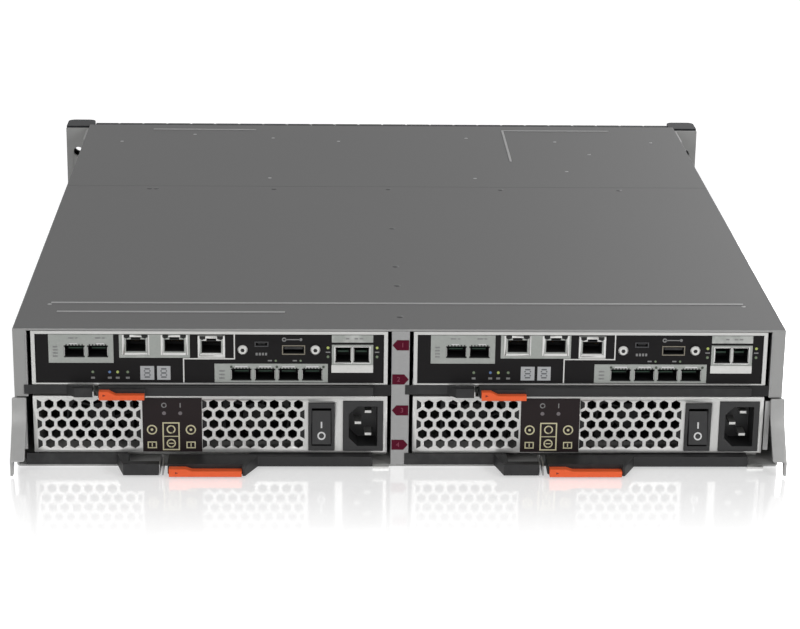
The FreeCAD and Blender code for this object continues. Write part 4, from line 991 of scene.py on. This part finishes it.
def cable_linings(side):
    """Inside each cable port: a lining of painted shade, bright edge springs and a card edge at the back."""
    shape = Shape(BAY[side])
    for x, low, wide, high in CABLE_MOUTHS:
        left, right = x - wide / 2 + 0.1, x + wide / 2 - 0.1
        shape.cup(left, low + 0.1, right, low + high - 0.1, REAR + 1.6, 11.9, 0.3, "painted_shade")
        for way in (-1, 1):
            edge = x + way * (wide / 2 - 0.28)
            shape.box((edge - 0.12, REAR + 0.95, low + 0.9), (edge + 0.12, REAR + 4.5, low + high - 0.9),
                      "shell")
        shape.box((x - wide / 3, REAR + 8, low + high * 0.42), (x + wide / 3, REAR + 13.2, low + high * 0.52),
                  "board")
    x = WIDE_BUS
    # The bus ports' linings are painted shade too.
    shape.cup(x - 6.05, 69.65, x + 6.05, 74.15, REAR + 1.4, 12.2, 0.25, "painted_shade")
    shape.box((x - 5.2, REAR + 1.6, 72.2), (x + 5.2, REAR + 12, 73.5), "plastic")
    x = SMALL_BUS
    shape.cup(x - 3.35, 74.45, x + 3.35, 76.35, REAR + 1.2, 10, 0.2, "painted_shade")
    shape.box((x - 2.2, REAR + 1.5, 75.2), (x + 2.2, REAR + 8, 75.7), "plastic")
    shape.fix("cable_port_insides", 0, "controller", "port_metal", side)


def card_marks(side):
    """Pale print on the two silver port plates."""
    shape = Shape(BAY[side])
    rear = REAR + 0.75

    def mark(left, low, wide, high, name):
        shape.box((left, rear, low), (left + wide, rear + 0.06, low + high), name)

    for left in (-81.5, -66):
        mark(left, 78.6, 3.2, 0.8, "grey_mark")
        mark(left + 4.2, 78.6, 1.4, 0.8, "grey_mark")
        mark(left + 0.6, 75.2, 4.4, 0.7, "white_mark")
    for low in (67.5, 69.4, 71.3, 73.2):
        mark(-90.4, low, 2.8, 0.9, "grey_mark")
    for x, low, wide, high in CABLE_MOUTHS[:4]:
        mark(x - 3.6, 61.3, 7.2, 0.9, "white_mark")
    for low in (54.2, 56.4, 58.6):
        mark(5.2, low, 3.2, 0.9, "grey_mark")
    for x in (12.3, 38.6, 65.6):
        shape.disc(x, 61.6, rear - 0.2, 0.8, 0.3, "window", 12)
    shape.fix("port_plate_print", 0, "controller", "port_metal", side)


def make_controller(side):
    dress_side(side, CONTROLLER_PLANS)
    coat_with(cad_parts["controller_board_" + side].data, "board")
    controller_marks(side)
    panel_screws(side)
    network_linings(side)
    cable_linings(side)
    card_marks(side)
    network_bezels(side)
    port_teeth(side)
    controller_catch(side)
    pivot_pocket(side)
    latch_spot("controller", side, 3, 48.2)


# Power canisters

POWER_PLANS = (
    ("power_case", "power", "canister_steel", [
        ("grille_case", "grille", 0), ("power_pull", "plastic", 0.7), ("fan_frame_a", "fan", 0.2),
        ("fan_frame_b", "fan", 0.2), ("switch_frame", "black", 0.3)]),
    ("power_inlet", "power", "moulding_black", [
        ("inlet_moulding", "black", 0.4), ("blade_a", "shell", 0.2), ("blade_b", "shell", 0.2),
        ("blade_c", "shell", 0.2)]),
    ("power_switch", "power_switch", "moulding_black", [("rocker", "black", 0.35)]),
    ("power_lever", "power_lever", "lever_plastic", [("power_cam_lever", "plastic", 0.6)]),
    ("power_latch", "power_latch", "latch_orange", [("power_touch_latch", "orange", 0.35)]))

# The grilles' holes: their pitch and width, the height of the lowest row and each field's first hole.
HOLE_PITCH, HOLE_WIDTH, HOLE_ROWS, HOLES_LOW = 7.05, 5.2, 5, 14.2
HOLE_STARTS = (-93.5, 1.8)
# The rocker's upper edge, and how far its face leans out per millimetre below it.
ROCKER_RIDGE, ROCKER_LEAN = 30.5, 2.6 / 15.3


def half_hexes(side):
    """Painted shade for the punched pattern's cut-off holes at the ends of the grilles' rows: thin dark
    patches on the grille face.
    """
    shape = Shape(BAY[side])
    reach = HOLE_WIDTH / math.sqrt(3)
    for start in HOLE_STARTS:
        for row in range(HOLE_ROWS):
            height = HOLES_LOW + row * HOLE_PITCH * math.cos(math.radians(30))
            if row % 2:
                way, x = -1, start + 7.5 * HOLE_PITCH
            else:
                way, x = 1, start - HOLE_PITCH + (0.4 if start > 0 else 0)
            shape.prism([(x, height - reach), (x + way * 2.6, height - reach / 2),
                         (x + way * 2.6, height + reach / 2), (x, height + reach)],
                        REAR - 0.05, REAR, "painted_shade")
    shape.fix("cut_off_holes", 0, "power", "canister_steel", side)


def power_catch(side):
    """The folded catch of spring steel between the pull and the touch latch."""
    shape = Shape(BAY[side] - 29.3)
    shape.box((0, REAR - 17.8, 1.7), (0.6, REAR - 2, 8.2), "bracket")
    shape.box((0.6, REAR - 2.6, 1.7), (1.6, REAR - 2, 8.2), "bracket")
    shape.box((1.6, REAR - 18.6, 1.7), (2.6, REAR - 2, 7.4), "bracket")
    shape.fix("power_catch", 0.15, "power", "bare_steel", side)


def power_marks(side):
    """The black film between the grilles, with two lamps and plain pale marks."""
    shape = Shape(BAY[side])
    film = REAR - 0.35
    rear, thick = film - 0.05, 0.06
    shape.box((-39.6, film, 9.2), (-5.1, REAR, 42.6), "label")

    def mark(left, low, right, high, name="mark"):
        shape.box((left, rear, low), (right, rear + thick, high), name)

    for x in (-27, -17.6):
        shape.disc(x, 33.3, film - 0.2, 1.15, 0.22, "dim")
    shape.ring(-27, 38.2, rear, 1.6, 0.6, thick, "grey_mark", 20)
    mark(-17.9, 36.8, -17.3, 39.6, "grey_mark")
    for x in (-34.2, -11.6):
        shape.ring(x, 23, rear, 3.0, 0.75, thick, "mark")
        shape.disc(x, 23, rear, 0.8, thick, "mark", 16)
        shape.frame_of(x - 2.7, 11.4, x + 2.7, 15.6, rear, thick, 0.65, "mark")
        mark(x - 0.3, 12.4, x + 0.3, 14.6)
    shape.frame_of(-28.1, 10.2, -18.1, 27.6, rear, thick, 0.75, "mark")
    mark(-27.5, 18.6, -18.7, 19.1)
    shape.ring(-23.1, 23.2, rear, 2.6, 0.75, thick, "mark")
    shape.ring(-23.1, 14.5, rear, 2.7, 0.75, thick, "mark")
    mark(-24.5, 14.2, -21.7, 14.8)
    shape.fix("power_label", 0, "power", "panel_black", side)


def rocker_marks(side):
    """The bar and ring on the rocker, laid on its sloping face."""
    low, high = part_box("power_switch_" + side)
    shape = Shape((low.x + high.x) / 2 / MM)
    rear = REAR - 1.03
    shape.box((-0.45, rear, 24.7), (0.45, rear + 0.2, 28.4), "white_mark")
    shape.ring(0, 20.2, rear, 2.4, 0.85, 0.2, "white_mark")
    piece = shape.made("rocker_print_" + side)
    for vertex in piece.data.vertices:
        vertex.co.y -= (ROCKER_RIDGE * MM - vertex.co.z) * ROCKER_LEAN
    attach(soften(piece, 0), "power_switch_" + side, "moulding_black")


def make_power(side):
    dress_side(side, POWER_PLANS)
    for number in (1, 2):
        coat_with(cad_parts["fan_rotor_%s_%d" % (side, number)].data, "fan")
    half_hexes(side)
    power_catch(side)
    power_marks(side)
    rocker_marks(side)
    latch_spot("power", side, 4.5, 4.3)


# Drives

# The name, finish and rounding of each of a drive's solids.
DRIVE_PLANS = (("carrier", "bezel", 0.35), ("disk", "carrier", 0.3), ("handle", "plastic", 0.3))


def drive_trim():
    """The first drive's gasket strip toward its neighbour, its two lamps and its touch point."""
    low, high = (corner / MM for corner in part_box(DRIVES[0]))
    home = middle(DRIVES[0]).x
    pitch = middle(DRIVES[1]).x - home
    front = high.y
    shape = Shape()
    shape.box((high.x + 0.02, front - 14, low.z + 1.5), (low.x + pitch - 0.08, front - 0.8, high.z - 0.1),
              "fan")
    shape.disc(home - 3.5, 17.2, front - 0.05, 0.7, 0.2, "green", 12)
    shape.disc(home + 3.5, 17.2, front - 0.05, 0.7, 0.2, "dim", 12)
    shape.box((home - 3.5, front - 0.02, 60), (home + 3.5, front + 0.25, 66), "orange")
    return shape


def make_drives():
    """Each drive module from one rounded set of pieces, moved across to its bay."""
    masters = []
    for mesh, (name, look, width) in zip(solids_of(DRIVES[0]), DRIVE_PLANS):
        coat_with(mesh, look)
        masters.append((name, soften(place("master_" + name, mesh), width)))
    masters.append(("trim", soften(drive_trim().made("master_trim"), 0.1)))
    home = middle(DRIVES[0]).x
    for name in DRIVES:
        shift = Matrix.Translation(((middle(name).x - home) * MM, 0, 0))
        for part, master in masters:
            mesh = master.data.copy()
            mesh.transform(shift)
            attach(place("%s_%s" % (name, part), mesh), name, "drive_carrier", name)
    for part, master in masters:
        bpy.data.objects.remove(master)


make_camera()
make_world()
make_floor()
make_lamps()
bpy.context.scene.view_settings.view_transform = "Standard"
make_chassis()
make_cover_marks()
make_tags()
make_bay_trim()
make_side_flanges()
for canister_side in WAYS:
    make_controller(canister_side)
    make_power(canister_side)
make_drives()
